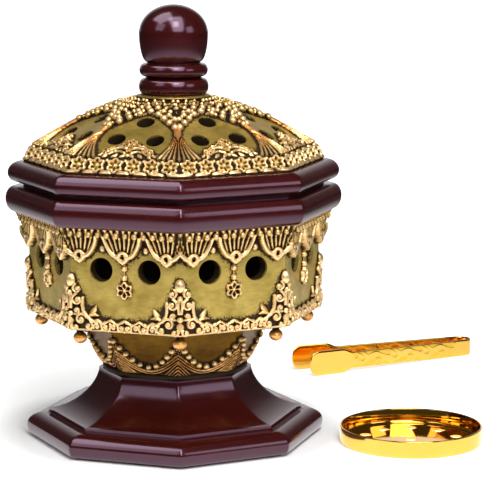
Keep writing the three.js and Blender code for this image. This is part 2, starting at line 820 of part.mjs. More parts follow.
// Tongs: one arm with its half of the bow; the bow's centre is the origin and the tips point to -X
function armBody(side) {
  const outer = tongs.bowRadius;
  const inner = tongs.bowRadius - tongs.thick;
  const start = Math.asin(tongs.split / 2 / inner);
  const end = Math.PI / 2 - tongs.splay * degrees;
  const direction = [-Math.cos(tongs.splay * degrees), Math.sin(tongs.splay * degrees)];
  const steps = 6;
  const arc = (radius) => Array.from({ length: steps + 1 }, (_, i) => {
    const turn = start + ((end - start) * i) / steps;
    return [radius * Math.cos(turn), radius * Math.sin(turn)];
  });
  const tipOf = ([x, y]) => [x + direction[0] * tongs.arm, y + direction[1] * tongs.arm];
  const outerArc = arc(outer);
  const innerArc = arc(inner);
  const path = [...outerArc, tipOf(outerArc[steps]), tipOf(innerArc[steps]), ...innerArc.reverse()];
  const flat = outline(path.map(([x, y]) => [x, side * y]));
  const strip = prism(flat, -tongs.bladeHeight / 2, tongs.bladeHeight / 2, new THREE.Matrix4());
  const tip = tipOf([0, 0])[0];
  const half = [
    [tip, 0],
    [tip, tongs.bladeHeight / 2 - tongs.bladeCorner],
    [tip + tongs.bladeCorner * 0.3, tongs.bladeHeight / 2 - tongs.bladeCorner * 0.3],
    [tip + tongs.bladeCorner, tongs.bladeHeight / 2],
    [tip + tongs.bladeLength, tongs.bladeHeight / 2],
    [tip + tongs.bladeLength + tongs.flareLength * 0.4, (tongs.bladeHeight + tongs.strip) / 4],
    [tip + tongs.bladeLength + tongs.flareLength, tongs.strip / 2],
    [tongs.bowRadius + overrun, tongs.strip / 2],
    [tongs.bowRadius + overrun, 0],
  ];
  const sideView = new THREE.Matrix4().makeRotationX(Math.PI / 2);
  const reach = tongs.bladeHeight + tongs.bowRadius;
  return strip.intersect(prism(mirroredAcross(half), -reach, reach, sideView));
}

addPiece("base_felt", octagonalRod(felt.flat, 0, felt.thick), finishes.darkFelt);
addPiece("plinth", plinthBody(), finishes.mahogany);
addPiece("tie_washer", washer(tie, tieSeat), finishes.steel);
addPiece("tie_screw", panScrew(tie, tieSeat - tie.washerThick, cupFoot + tie.bite), finishes.steel);
addPiece("lower_cup", cupBody(), finishes.goldGround);
addPiece("cup_garland", garlandBody(), finishes.goldRelief);
addPiece("drum", drumBody(), finishes.goldGround);
addPiece("bowl_rim", bowlRimBody(), finishes.mahogany);
addPiece("valance", valanceBody(), finishes.goldRelief);
addToEverySide("corner_mount", mountBody(), finishes.goldRelief);
addToEverySide("rosette_drop", dropBody(), finishes.goldRelief);
addToEverySide("corner_ball", ballBody(), finishes.goldRelief);

addPiece("lid_rim", lidRimBody(), finishes.mahogany);
addPiece("lid_dome", domeBody(), finishes.goldGround);
addPiece("lid_blossom_band", bandBody(), finishes.goldRelief);
addPiece("lid_openwork", cageBody(), finishes.goldRelief);
addToEverySide("panel_spray", sprayBody(), finishes.goldRelief);
addPiece("knob_collar", collarBody(), finishes.goldRelief);
addPiece("knob", knobBody(), finishes.mahogany);
addPiece("knob_washer", washer(knobScrew, crownUnderside), finishes.steel);
const knobHeadTop = crownUnderside - knobScrew.washerThick;
addPiece("knob_screw", panScrew(knobScrew, knobHeadTop, knobFoot + knobScrew.bite), finishes.steel);

const trayStand = new THREE.Group();
trayStand.position.set(...tray.place, 0);
burner.add(trayStand);
addPiece("charcoal_tray", trayBody(), finishes.polishedGold, 0, trayStand);

// The blades are deeper than the strip, so the tongs lie tipped back on to the bow's lower edge
const bladeHeel = tongs.bladeLength - tongs.arm * Math.cos(tongs.splay * degrees);
const tilt = Math.atan((tongs.bladeHeight - tongs.strip) / 2 / (tongs.bowRadius - bladeHeel));
const tongsRise = bladeHeel * Math.sin(tilt) + (tongs.bladeHeight / 2) * Math.cos(tilt);
const tongsStand = new THREE.Group();
tongsStand.position.set(...tongs.place, tongsRise);
tongsStand.rotation.set(0, tilt, tongs.heading * degrees, "ZYX");
burner.add(tongsStand);
addPiece("tongs_near_arm", armBody(-1), finishes.polishedGold, 0, tongsStand);
addPiece("tongs_far_arm", armBody(1), finishes.polishedGold, 0, tongsStand);

export default burner;
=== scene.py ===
# An octagonal incense burner with its charcoal tray and tongs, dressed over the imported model.
# Sizes are millimetres until a mesh is made. Height goes up, and a corner faces -Y.
import json
import math
import bmesh
import bpy
import numpy as np
from mathutils import Matrix, Vector


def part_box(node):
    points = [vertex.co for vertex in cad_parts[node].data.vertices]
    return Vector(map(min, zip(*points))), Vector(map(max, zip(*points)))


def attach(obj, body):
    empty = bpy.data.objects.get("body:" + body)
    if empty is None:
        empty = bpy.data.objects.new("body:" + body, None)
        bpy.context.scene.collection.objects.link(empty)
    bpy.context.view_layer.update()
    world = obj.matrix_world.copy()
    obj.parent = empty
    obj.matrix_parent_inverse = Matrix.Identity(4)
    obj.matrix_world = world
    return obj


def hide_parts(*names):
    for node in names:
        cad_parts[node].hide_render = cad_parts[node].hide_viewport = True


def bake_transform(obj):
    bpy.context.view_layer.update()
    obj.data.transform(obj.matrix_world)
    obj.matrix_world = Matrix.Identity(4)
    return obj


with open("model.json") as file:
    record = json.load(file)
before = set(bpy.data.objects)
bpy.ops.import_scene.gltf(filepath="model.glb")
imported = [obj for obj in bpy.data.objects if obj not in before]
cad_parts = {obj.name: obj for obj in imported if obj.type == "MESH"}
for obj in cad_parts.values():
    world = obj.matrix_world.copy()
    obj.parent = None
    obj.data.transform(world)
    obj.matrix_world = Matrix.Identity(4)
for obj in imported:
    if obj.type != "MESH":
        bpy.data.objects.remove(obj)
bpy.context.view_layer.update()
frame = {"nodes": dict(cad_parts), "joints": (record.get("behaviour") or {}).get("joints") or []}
print("frame loaded:", len(frame["nodes"]), "nodes")

mm = 0.001
tau = math.tau
sides = 8
halfTurn = math.pi / sides
sideSlope = math.tan(halfTurn)  # half a side's width over its distance from the axis
cornerStretch = 1 / math.cos(halfTurn)
frontCorner = -math.pi / 2
screwBore = 2.3

# Levels, read from the frame
plinthFoot, cupFoot, drumFoot, rimFoot, domeFoot, collarFoot, knobFoot = (
    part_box(node)[0][2] / mm
    for node in ("plinth", "lower_cup", "drum", "bowl_rim", "lid_dome", "knob_collar", "knob")
)
lidSeat, knobTop = (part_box(node)[1][2] / mm for node in ("bowl_rim", "knob"))
drumHeight = rimFoot - drumFoot


# Shader maths as expressions
def operator(operation, swapped=False):
    return lambda self, other: self.combined(operation, other, swapped)


class Wire:
    def __init__(self, tree, socket):
        self.tree = tree
        self.socket = socket

    def combined(self, operation, other=0.0, swapped=False):
        node = self.tree.nodes.new("ShaderNodeMath")
        node.operation = operation
        for slot, value in zip(node.inputs, (other, self) if swapped else (self, other)):
            plug(self.tree, slot, value)
        return Wire(self.tree, node.outputs[0])

    __add__ = operator("ADD")
    __radd__ = operator("ADD", True)
    __sub__ = operator("SUBTRACT")
    __rsub__ = operator("SUBTRACT", True)
    __mul__ = operator("MULTIPLY")
    __rmul__ = operator("MULTIPLY", True)
    __truediv__ = operator("DIVIDE")
    __pow__ = operator("POWER")

    def within(self):  # held between 0 and 1
        return self.combined("MAXIMUM").combined("MINIMUM", 1.0)

    def past(self, start, over):  # 0 up to start, then rising to 1
        return ((self - start) / over).within()

    def output(self, name):  # another output of the same node
        return Wire(self.tree, self.socket.node.outputs[name])


def plug(tree, slot, value):
    if isinstance(value, Wire):
        tree.links.new(value.socket, slot)
    else:
        slot.default_value = value


def addNode(tree, kind, settings=None, inputs=None, out=0):
    made = tree.nodes.new(kind)
    for key, value in (settings or {}).items():
        if key == "stops":
            ramp = made.color_ramp
            while len(ramp.elements) < len(value):
                ramp.elements.new(0.5)
            for element, (place, colour) in zip(ramp.elements, value):
                element.position = place
                element.color = (*colour, 1.0)
        else:
            setattr(made, key, value)
    for key, value in (inputs or {}).items():
        plug(tree, made.inputs[key], value)
    return Wire(tree, made.outputs[out])


class Finish:
    def __init__(self, name, constants):
        self.material = bpy.data.materials.new(name)
        self.material.use_nodes = True
        self.tree = self.material.node_tree
        self.shader = self.tree.nodes["Principled BSDF"]
        for key, value in constants.items():
            self.shader.inputs[key].default_value = value

    def node(self, kind, settings=None, inputs=None, out=0):
        return addNode(self.tree, kind, settings, inputs, out)

    def feed(self, socket, value):
        plug(self.tree, self.shader.inputs[socket], value)

    def noise(self, size, detail=3.0, rough=0.55, stretch=(1, 1, 1)):
        place = self.node("ShaderNodeTexCoord", out=3)
        turned = self.node("ShaderNodeMapping", inputs={"Vector": place, "Scale": stretch})
        sockets = {"Vector": turned, "Scale": 1 / (size * mm), "Detail": detail, "Roughness": rough}
        return self.node("ShaderNodeTexNoise", inputs=sockets)

    def value(self, name):
        return self.node("ShaderNodeAttribute", {"attribute_name": name}, out=2)

    def ramp(self, amount, stops):
        return self.node("ShaderNodeValToRGB", {"stops": stops}, {"Fac": amount})

    def mix(self, amount, first, second, blendType="MIX"):
        first, second = (end if isinstance(end, Wire) else (*end, 1.0) for end in (first, second))
        settings = {"data_type": "RGBA", "blend_type": blendType}
        return self.node("ShaderNodeMix", settings, {0: amount, 6: first, 7: second}, out=2)

    def bump(self, height, depth, strength=1.0):
        sockets = {"Height": height, "Distance": depth * mm, "Strength": strength}
        self.feed("Normal", self.node("ShaderNodeBump", inputs=sockets))


# Finishes
reliefLook = {
    "stops": [(0.0, (0.008, 0.005, 0.003)), (0.30, (0.055, 0.028, 0.009)), (0.47, (0.36, 0.23, 0.050)),
              (0.66, (0.82, 0.505, 0.175)), (0.90, (0.98, 0.69, 0.345))],
    "copper": (1.0, 0.66, 0.42), "grain": 0.35, "patchSize": 2.0, "patchDepth": 0.55,
    "metal": 0.80, "roughHigh": 0.32, "roughPit": 0.65,
}


def reliefGold():
    look = reliefLook
    finish = Finish("relief gold", {"Specular IOR Level": 0.2})
    patches = finish.noise(look["patchSize"], 4.0) - 0.5
    tone = (finish.value("tone") + patches * look["patchDepth"]).within()
    gilt = finish.ramp(tone, look["stops"])
    coppered = finish.mix(1.0, gilt, look["copper"], "MULTIPLY")
    finish.feed("Base Color", finish.mix(finish.value("warm"), gilt, coppered))
    finish.feed("Metallic", (tone * 3.0).within() * look["metal"])
    finish.feed("Roughness", look["roughPit"] - tone * (look["roughPit"] - look["roughHigh"]))
    finish.bump(finish.noise(look["grain"], 3.0), 0.05, 0.5)
    return finish.material


groundLook = {
    "clean": (0.66, 0.48, 0.125), "deep": (0.33, 0.23, 0.040), "washAndShadeColour": (0.020, 0.011, 0.005),
    "aged": (0.21, 0.098, 0.003), "agedDeep": (0.065, 0.028, 0.001), "patchSize": 11.0, "brushSize": 1.5,
    "speckSize": 0.8, "blotchSize": 3.2, "metal": 0.60, "rough": 0.34, "coat": 0.10,
}


def groundGold():
    look = groundLook
    finish = Finish("ground gold", {"Specular IOR Level": 0.2, "Coat Roughness": 0.25, "Coat IOR": 1.45})
    patches = finish.noise(look["patchSize"], 3.0)
    brushed = finish.noise(look["brushSize"], 3.0, stretch=(0.35, 0.35, 1.1))
    specks = finish.noise(look["speckSize"], 2.0)
    blotches = finish.noise(look["blotchSize"], 2.0)
    age = finish.value("age")
    # this value darkens the ground: dark antique wash round the ornament, and painted shade under the drum on
    # the cup
    wash = finish.value("wash") * (0.45 + blotches * 1.1)
    atEdge = (wash * 4.0 * (1 - wash)).within()
    washedAndShaded = ((wash + (specks - 0.5) * 1.1 * atEdge - 0.42) * 3.0).within()
    worn = (patches * 1.9 - 0.35 + (brushed - 0.5) * 0.9).within()
    fresh = finish.mix(worn, look["deep"], look["clean"])
    aged = finish.mix(worn, look["agedDeep"], look["aged"])
    finish.feed("Base Color", finish.mix(washedAndShaded * 0.98, finish.mix(age, fresh, aged), look["washAndShadeColour"]))
    finish.feed("Metallic", look["metal"] * (1 - washedAndShaded * 0.95) * (1 - age * 0.2))
    finish.feed("Coat Weight", look["coat"] * (1 - washedAndShaded) * (1 - age))
    finish.feed("Roughness", look["rough"] + washedAndShaded * 0.2 + (brushed - 0.5) * 0.14 + age * 0.1)
    finish.bump(brushed + specks * 0.5, 0.04, 0.35)
    return finish.material


lacquerLook = {
    "deep": (0.018, 0.0015, 0.0010), "red": (0.050, 0.0042, 0.0030), "sheen": (1.0, 0.72, 1.0, 1),
    "patchSize": 30.0, "figureSize": 3.5, "orangePeel": 2.4, "rough": 0.17,
}


def mahoganyLacquer():
    look = lacquerLook
    finish = Finish("mahogany lacquer", {"Specular Tint": look["sheen"], "IOR": 1.64})
    patches = finish.noise(look["patchSize"], 3.0)
    figure = finish.noise(look["figureSize"], 4.0, stretch=(1, 1, 6))
    depth = (patches * 0.8 + figure * 0.35 - 0.1).within()
    finish.feed("Base Color", finish.mix(depth, look["deep"], look["red"]))
    finish.feed("Roughness", look["rough"] + (figure - 0.5) * 0.12)
    finish.bump(finish.noise(look["orangePeel"], 1.5), 0.03, 0.12)
    return finish.material


platedLook = {
    "gold": (0.93, 0.56, 0.12), "warm": (0.86, 0.47, 0.075), "etched": (0.80, 0.50, 0.055),
    "rough": 0.055, "smear": 26.0, "dents": 9.0,
}


def platedGold():
    look = platedLook
    finish = Finish("plated gold", {"Metallic": 1.0})
    smear = finish.noise(look["smear"], 3.0)
    etch = finish.value("etch")
    plate = finish.mix((smear * 1.5 - 0.35).within(), look["warm"], look["gold"])
    finish.feed("Base Color", finish.mix(etch, plate, look["etched"]))
    finish.feed("Roughness", look["rough"] + (smear - 0.4).within() * 0.10 + etch * 0.25)
    finish.bump(finish.noise(look["dents"], 2.0), 0.02, 0.2)
    return finish.material


def feltFinish():
    finish = Finish("dark felt", {"Roughness": 0.95, "Sheen Weight": 0.4})
    fibres = finish.noise(0.5, 4.0, 0.7)
    finish.feed("Base Color", finish.mix(fibres, (0.012, 0.009, 0.008), (0.06, 0.042, 0.035)))
    finish.bump(fibres, 0.3, 0.7)
    return finish.material


def zincSteel():
    finish = Finish("zinc steel", {"Metallic": 1.0})
    turning = finish.noise(0.6, 2.0, stretch=(1, 1, 8))
    finish.feed("Base Color", finish.mix(turning, (0.42, 0.42, 0.41), (0.68, 0.68, 0.66)))
    finish.feed("Roughness", 0.28 + turning * 0.2)
    finish.bump(turning, 0.03, 0.4)
    return finish.material


finishes = {
    "gold_relief": reliefGold(), "gold_ground": groundGold(), "mahogany_lacquer": mahoganyLacquer(),
    "polished_gold": platedGold(), "base_felt": feltFinish(), "zinc_steel": zincSteel(),
}
print("finishes:", ", ".join(finishes))


# Meshes
def smooth(share):
    held = np.clip(share, 0, 1)
    return held * held * (3 - 2 * held)


def newObject(name, data):
    item = bpy.data.objects.new(name, data)
    bpy.context.scene.collection.objects.link(item)
    return item


def dress(mesh, slotName):
    mesh.materials.clear()
    mesh.materials.append(finishes[slotName])


def vertexColumns(mesh, key):
    values = np.empty(len(mesh.vertices) * 3, np.float32)
    mesh.vertices.foreach_get(key, values)
    return values.reshape(-1, 3)


def setValues(mesh, **columns):  # each a number for the whole mesh, or one for each vertex
    for key, column in columns.items():
        values = np.zeros(len(mesh.vertices), np.float32)
        values += np.asarray(column, np.float32)
        mesh.attributes.new(key, "FLOAT", "POINT").data.foreach_set("value", values)


def finishedPiece(name, mesh, slotName, creaseAngle=42, merge=False):
    if merge:
        shape = bmesh.new()
        shape.from_mesh(mesh)
        bmesh.ops.remove_doubles(shape, verts=shape.verts, dist=0.002 * mm)
        bmesh.ops.dissolve_degenerate(shape, edges=shape.edges, dist=0.001 * mm)
        shape.to_mesh(mesh)
        shape.free()
    mesh.name = name
    dress(mesh, slotName)
    mesh.shade_smooth()
    mesh.set_sharp_from_angle(angle=math.radians(creaseAngle))
    piece = newObject(name, mesh)
    return piece


def meshPiece(name, points, faces, slotName, values, creaseAngle=42, merge=False):
    mesh = bpy.data.meshes.new(name)
    mesh.from_pydata((np.asarray(points) * mm).tolist(), [], np.asarray(faces).tolist())
    setValues(mesh, **values)
    return finishedPiece(name, mesh, slotName, creaseAngle, merge)


def ridesOn(piece, body, *nodes):
    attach(piece, body)
    if nodes:
        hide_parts(*nodes)


# A side of the octagon: a profile from the bottom to the top, measured along itself
def wallOf(profile):
    flats, heights = np.array(profile, float).T
    along = np.concatenate([[0], np.cumsum(np.hypot(np.diff(flats), np.diff(heights)))])
    climbFlat, climbZ = np.gradient(flats, along), np.gradient(heights, along)
    length = np.hypot(climbFlat, climbZ)
    outward = {"outFlat": climbZ / length, "outZ": -climbFlat / length}
    return {"along": along, "flat": flats, "z": heights, **outward}


def at(wall, key, along):
    return np.interp(along, wall["along"], wall[key])


def halfWidth(wall, along):
    return at(wall, "flat", along) * sideSlope


mitreReach = 1.6  # how near a corner the relief starts to lean into the mitre


def leaned(across, half, reach):
    lean = smooth((np.abs(across) - half + mitreReach) / mitreReach)
    return across + np.sign(across) * lean * reach * sideSlope


def onSide(side, out, aside, z):
    bearing = frontCorner + halfTurn + 2 * halfTurn * side
    x = out * np.cos(bearing) - aside * np.sin(bearing)
    y = out * np.sin(bearing) + aside * np.cos(bearing)
    return np.stack([x, y, z], -1)


def onWall(wall, side, across, along, height):
    flat, z, outFlat, outZ = (at(wall, key, along) for key in ("flat", "z", "outFlat", "outZ"))
    reach = height * outFlat
    return onSide(side, flat + reach, leaned(across, flat * sideSlope, reach), z + height * outZ)


def allSides(field):
    return np.tile(field, (sides, 1))


def sideNumbers(columns):
    return np.repeat(np.arange(sides), columns)[:, None]


def closedShell(front, back, faces):  # two skins with the same faces, joined along every open edge
    count = len(front)
    start, end = faces.ravel(), np.roll(faces, -1, axis=1).ravel()
    openEdge = ~np.isin(start * count + end, end * count + start)
    a, b = start[openEdge], end[openEdge]
    edgeFaces = np.stack([b, a, a + count, b + count], -1)
    every = np.concatenate([faces, faces[:, ::-1] + count, edgeFaces])
    used = np.unique(every)
    renumbered = np.zeros(2 * count, int)
    renumbered[used] = np.arange(len(used))
    return np.concatenate([front, back])[used], renumbered[every], used


def columnFaces(columns, rows):
    grid = np.asarray(columns)[:, None] * (rows + 1) + np.arange(rows + 1)
    return np.stack([grid[:-1, :-1], grid[1:, :-1], grid[1:, 1:], grid[:-1, 1:]], -1).reshape(-1, 4)


def blurred(field, columnReach, rowReach):  # the field repeats from side to side
    pad = int(3 * rowReach) + 2
    padded = np.pad(field, ((0, 0), (pad, pad)), mode="edge")
    waves = np.fft.rfft2(padded)
    acrossWave = np.fft.fftfreq(padded.shape[0])[:, None] * columnReach
    alongWave = np.fft.rfftfreq(padded.shape[1])[None, :] * rowReach
    waves *= np.exp(-2 * math.pi**2 * (acrossWave**2 + alongWave**2))
    return np.fft.irfft2(waves, s=padded.shape)[:, pad:-pad]


def sideGrid(wall, columns, rows, span):
    shares = np.linspace(-1, 1, columns + 1)[:-1, None]
    along = np.linspace(span[0], span[1], rows + 1)[None, :] * np.ones_like(shares)
    return shares * halfWidth(wall, along), along


def fieldOf(given, across, along):  # a number, or a function of the place
    return given(across, along) if callable(given) else given + 0 * across


sink = 0.4  # how far relief dives into the wall behind it
toneReach = 1.1  # how far round a point its height is compared


def castRelief(name, node, body, wall, pattern, grid, span, copies=None, shade=0.0, warm=0.0):
    # a whole ring or, with copies, a piece for each side: their middle and width in shares of a side
    columns, rows = grid
    across, along = sideGrid(wall, columns, rows, span)
    heights = np.maximum(pattern(across, along), -sink)
    cell = (2 * halfWidth(wall, np.mean(span)) / columns, (span[1] - span[0]) / rows)
    shown = np.maximum(heights, 0)
    around, wide = (blurred(shown, *(reach * toneReach / width for width in cell)) for reach in (1, 2.6))
    # tone: dark patina in the hollows and lighter high points, with extra contrast that is painted shade and
    # highlight standing in for the relief's own shading
    tone = 0.42 + 1.2 * (shown - around) + 0.34 * (shown - wide) - 0.34 * smooth(1 - shown / 0.6)
    tone = np.clip(tone + fieldOf(shade, across, along), 0, 1)
    fields = {"tone": tone, "warm": fieldOf(warm, across, along)}
    values = {key: np.tile(field.ravel(), 2 * sides) for key, field in fields.items()}
    place = (wall, sideNumbers(columns), allSides(across), allSides(along))
    tall = allSides(heights)
    front, back = (onWall(*place, height).reshape(-1, 3) for height in (tall, -1.5 * sink))
    count = sides * columns
    made = {(name, node): np.arange(count + 1)}
    if copies:
        middle, reach = int(columns * copies[0]), int(columns * copies[1] / 2)
        made = {(f"{name}_{k + 1}", f"{node}_{k + 1}"): k * columns + middle + np.arange(-reach, reach + 1)
                for k in range(sides)}
    for (pieceName, nodeName), columnList in made.items():
        faces = columnFaces(columnList % count, rows)
        faces = faces[tall.ravel()[faces].max(axis=1) > -0.8 * sink]
        points, faces, used = closedShell(front, back, faces)
        kept = {key: column[used] for key, column in values.items()}
        ridesOn(meshPiece(pieceName, points, faces, "gold_relief", kept, 60), body, nodeName)


def ringShell(name, node, body, wall, grid, depth, vents, ventRadius, washOf, straightWidth, age=0.0):
    # a wall with round vents: grid points near a vent's edge are drawn on to it
    columns, rows = grid
    length = wall["along"][-1]
    across, along = sideGrid(wall, columns, rows, (0, length))
    cell = np.maximum(2 * halfWidth(wall, along) / columns, length / rows)
    inVent = np.zeros(across.shape, bool)
    for centreAcross, centreAlong in vents:
        du, dv = across - centreAcross, along - centreAlong
        reach = np.hypot(du, dv)
        near = np.abs(reach - ventRadius) < 0.72 * cell
        across = np.where(near, centreAcross + du * ventRadius / reach, across)
        along = np.where(near, centreAlong + dv * ventRadius / reach, along)
        inVent |= near | (reach < ventRadius)
    wash = washOf(across, along, columns, rows)
    side = sideNumbers(columns)
    front = onWall(wall, side, allSides(across), allSides(along), 0).reshape(-1, 3)
    half = halfWidth(wall, along)
    flat, z, outFlat, outZ = (at(wall, key, along) for key in ("flat", "z", "outFlat", "outZ"))
    innerHalf = half - depth * sideSlope * outFlat
    beyond = np.clip((np.abs(across) - straightWidth) / np.maximum(half - straightWidth, 0.1), 0, 1)
    squeezed = np.abs(across) - beyond * (half - innerHalf)
    inner = np.sign(across) * np.where(half < straightWidth, np.abs(across) * innerHalf / half, squeezed)
    inside = (allSides(field) for field in (flat - depth * outFlat, inner, z - depth * outZ))
    back = onSide(side, *inside).reshape(-1, 3)
    count = sides * columns
    faces = columnFaces(np.arange(count + 1) % count, rows)
    faces = faces[~allSides(inVent).ravel()[faces].all(axis=1)]
    points, faces, used = closedShell(front, back, faces)
    insideWash = 2.6  # dark all through
    washes = np.concatenate([allSides(wash).ravel(), np.full(len(back), insideWash)])[used]
    piece = meshPiece(name, points, faces, "gold_ground", {"wash": washes, "age": age}, 35, merge=True)
    ridesOn(piece, body, node)


def washFrom(*patterns, reach=1.7, strength=1.85):  # dark wash on a wall, close round its ornament
    def washOf(across, along, columns, rows):
        covered = (highest(*[pattern(across, along) for pattern in patterns]) > 0.05).astype(float)
        cell = (np.ptp(across) / columns, np.ptp(along) / rows)
        near, far = (blurred(covered, *(size * reach / width for width in cell)) for size in (1, 2.6))
        return np.clip(strength * (0.65 * near + 0.35 * far), 0, 1)
    return washOf


# Carving: each returns a height in mm, below zero outside the form
fall = 1.7  # how steeply a form dives at its edge


def rounded(distance, radius, rise, power=2):
    top = rise * np.sqrt(np.clip(1 - (distance / radius) ** power, 0, 1))
    return np.where(distance < radius, top, -fall * (distance - radius))


def ribbon(distance, radius, rise):  # as rounded, with a flatter top
    return rounded(distance, radius, rise, 4)


def toSegment(u, v, start, end):
    du, dv = end[0] - start[0], end[1] - start[1]
    share = np.clip(((u - start[0]) * du + (v - start[1]) * dv) / (du * du + dv * dv), 0, 1)
    return np.hypot(u - start[0] - share * du, v - start[1] - share * dv), share


def pebbles(u, v, pitch, radius, rise):  # uneven beads, packed close
    row = np.round(v / (0.87 * pitch))
    best = np.full(np.shape(u), -9.0)
    for step in (-1, 0, 1):
        line = row + step
        shift = 0.5 * (line % 2)
        cell = np.round(u / pitch - shift)
        chance = np.sin(cell * 12.9898 + line * 78.233) * 43758.5453
        chance = chance - np.floor(chance)
        middleU = (cell + shift + 0.22 * (chance - 0.5)) * pitch
        middleV = (line + 0.3 * (chance - 0.5)) * 0.87 * pitch
        pebble = rounded(np.hypot(u - middleU, v - middleV), radius * (0.75 + 0.4 * chance), rise)
        best = np.maximum(best, pebble)
    return best


def stem(u, v, path, radius, rise, endShare=1.0):  # a tube along a path, thinner at its end
    best = np.full(np.shape(u), -99.0)
    count = len(path) - 1
    for i in range(count):
        distance, share = toSegment(u, v, path[i], path[i + 1])
        thickness = radius * (1 + (endShare - 1) * (i + share) / count)
        best = np.maximum(best, ribbon(distance, thickness, rise * (0.4 + 0.6 * thickness / radius)))
    return best


def curl(u, v, centre, size, hand, start, width, rise, tightness=0.17):
    du, dv = hand * (u - centre[0]), v - centre[1]
    reach = np.maximum(np.hypot(du, dv), 1e-3)
    wound = np.log(size / reach) / tightness
    offset = (wound - (np.arctan2(dv, du) - start) + math.pi) % tau - math.pi
    distance = reach * tightness * np.abs(offset)
    toTip = np.hypot(du - size * math.cos(start), dv - size * math.sin(start))
    distance = np.where(wound - offset < -0.4, toTip, distance)
    thickness = width * (0.5 + 0.5 * np.clip(reach / size, 0, 1))
    return np.maximum(ribbon(distance, thickness, rise), rounded(reach, 0.20 * size, rise * 0.8))


def leaf(u, v, base, tip, width, rise, bend=0.0):
    du, dv = tip[0] - base[0], tip[1] - base[1]
    length = math.hypot(du, dv)
    share = ((u - base[0]) * du + (v - base[1]) * dv) / length**2
    aside = (-(u - base[0]) * dv + (v - base[1]) * du) / length
    held = np.clip(share, 0, 1)
    aside = aside - bend * length * 4 * held * (1 - held)
    edge = width * np.sin(math.pi * held**0.8) ** 0.75
    inside = edge - np.abs(aside)
    crown = rise * np.sqrt(np.clip(1 - (aside / np.maximum(edge, 1e-3)) ** 2, 0, 1))
    rib = 0.35 * rise * np.exp(-((aside / 0.28) ** 2)) * (width > 1.2)
    beyond = np.maximum(np.abs(share - 0.5) - 0.5, 0) * length
    return np.where((inside > 0) & (beyond == 0), crown * 0.8 + rib, -fall * np.maximum(-inside, beyond))


def blossom(u, v, centre, size, petals, rise, turn=0.0, bowl=0.2, rib=0.5, edge=0.12):
    # an outlined flower, ribbed between its petals
    du, dv = u - centre[0], v - centre[1]
    reach, bearing = np.hypot(du, dv), np.arctan2(dv, du) - turn
    inside = size * (0.87 + 0.13 * np.cos(petals * bearing)) - reach
    outline = ribbon(np.abs(inside - edge * size), edge * size, rise)
    notch = bearing % (tau / petals) - math.pi / petals
    ribs = rise * (bowl + rib * np.exp(-((reach * np.sin(notch) / (0.07 * size)) ** 2)))
    heart = rounded(reach, 0.19 * size, rise * 0.95)
    return np.where(inside > 0, highest(outline, ribs, heart), fall * inside)


def onPlate(forms, rise, reach):  # a thin skirt of metal round the carved forms
    return np.maximum(forms, np.minimum(forms + reach, rise))


def highest(*forms):
    return np.maximum.reduce(forms)


# Geometry Nodes: panelled or round mouldings from a profile, and strings of beads
def startTree(name, sockets):
    tree = bpy.data.node_groups.new(name, "GeometryNodeTree")
    ids = {}
    for label, (kind, default) in sockets.items():
        socket = tree.interface.new_socket(label, in_out="INPUT", socket_type="NodeSocket" + kind)
        if default is not None:
            socket.default_value = default
        ids[label] = socket.identifier
    tree.interface.new_socket("Geometry", in_out="OUTPUT", socket_type="NodeSocketGeometry")
    entry = tree.nodes.new("NodeGroupInput")
    given = {socket.name: Wire(tree, socket) for socket in entry.outputs if socket.name}
    return tree, ids, given, lambda *parts, **more: addNode(tree, *parts, **more)


def endTree(tree, geometry, material):
    real = addNode(tree, "GeometryNodeRealizeInstances", inputs={"Geometry": geometry})
    dressed = addNode(tree, "GeometryNodeSetMaterial", inputs={"Geometry": real, "Material": material})
    plug(tree, tree.nodes.new("NodeGroupOutput").inputs[0], dressed)


def mouldingTree():
    tree, ids, given, node = startTree("moulding round an octagon or a circle", {
        "Profile": ("Geometry", None), "Columns": ("Int", 96), "Sides": ("Int", sides),
        "First corner": ("Float", frontCorner), "Corner softness": ("Float", 0.0002),
        "Material": ("Material", None)})
    profile = given["Profile"]
    points = node("GeometryNodeAttributeDomainSize", {"component": "CURVE"}, {"Geometry": profile})
    grid = node("GeometryNodeMeshGrid", inputs={"Vertices X": given["Columns"] + 1, "Vertices Y": points})
    index = node("GeometryNodeInputIndex")
    row = index.combined("MODULO", points)
    column = (index / points).combined("FLOOR")
    position = node("GeometryNodeInputPosition")
    sample = node("GeometryNodeSampleIndex", {"data_type": "FLOAT_VECTOR"},
                  {"Geometry": profile, "Value": position, "Index": row})
    xyz = node("ShaderNodeSeparateXYZ", inputs={0: sample})
    radius, roundness, height = (xyz.output(axis) for axis in "XYZ")
    step = column / (given["Columns"] / given["Sides"])
    whole = step.combined("FLOOR")
    crowded = 0.5 - ((step - whole) * math.pi).combined("COSINE") * 0.5
    sideAngle = given["Sides"] ** -1.0 * tau
    fromMiddle = (crowded - 0.5).combined("ABSOLUTE")
    stretch = (fromMiddle * sideAngle).combined("COSINE") ** -1.0
    flatReach = radius * stretch - (fromMiddle * 2.0) ** 40.0 * given["Corner softness"]
    reach = flatReach + (radius - flatReach) * roundness
    bearing = (whole + crowded) * sideAngle + given["First corner"]
    x, y = (reach * bearing.combined(wave) for wave in ("COSINE", "SINE"))
    place = node("ShaderNodeCombineXYZ", inputs={"X": x, "Y": y, "Z": height})
    shaped = node("GeometryNodeSetPosition", inputs={"Geometry": grid, "Position": place})
    merged = node("GeometryNodeMergeByDistance", inputs={"Geometry": shaped, "Distance": 2e-6})
    endTree(tree, merged, given["Material"])
    return tree, ids


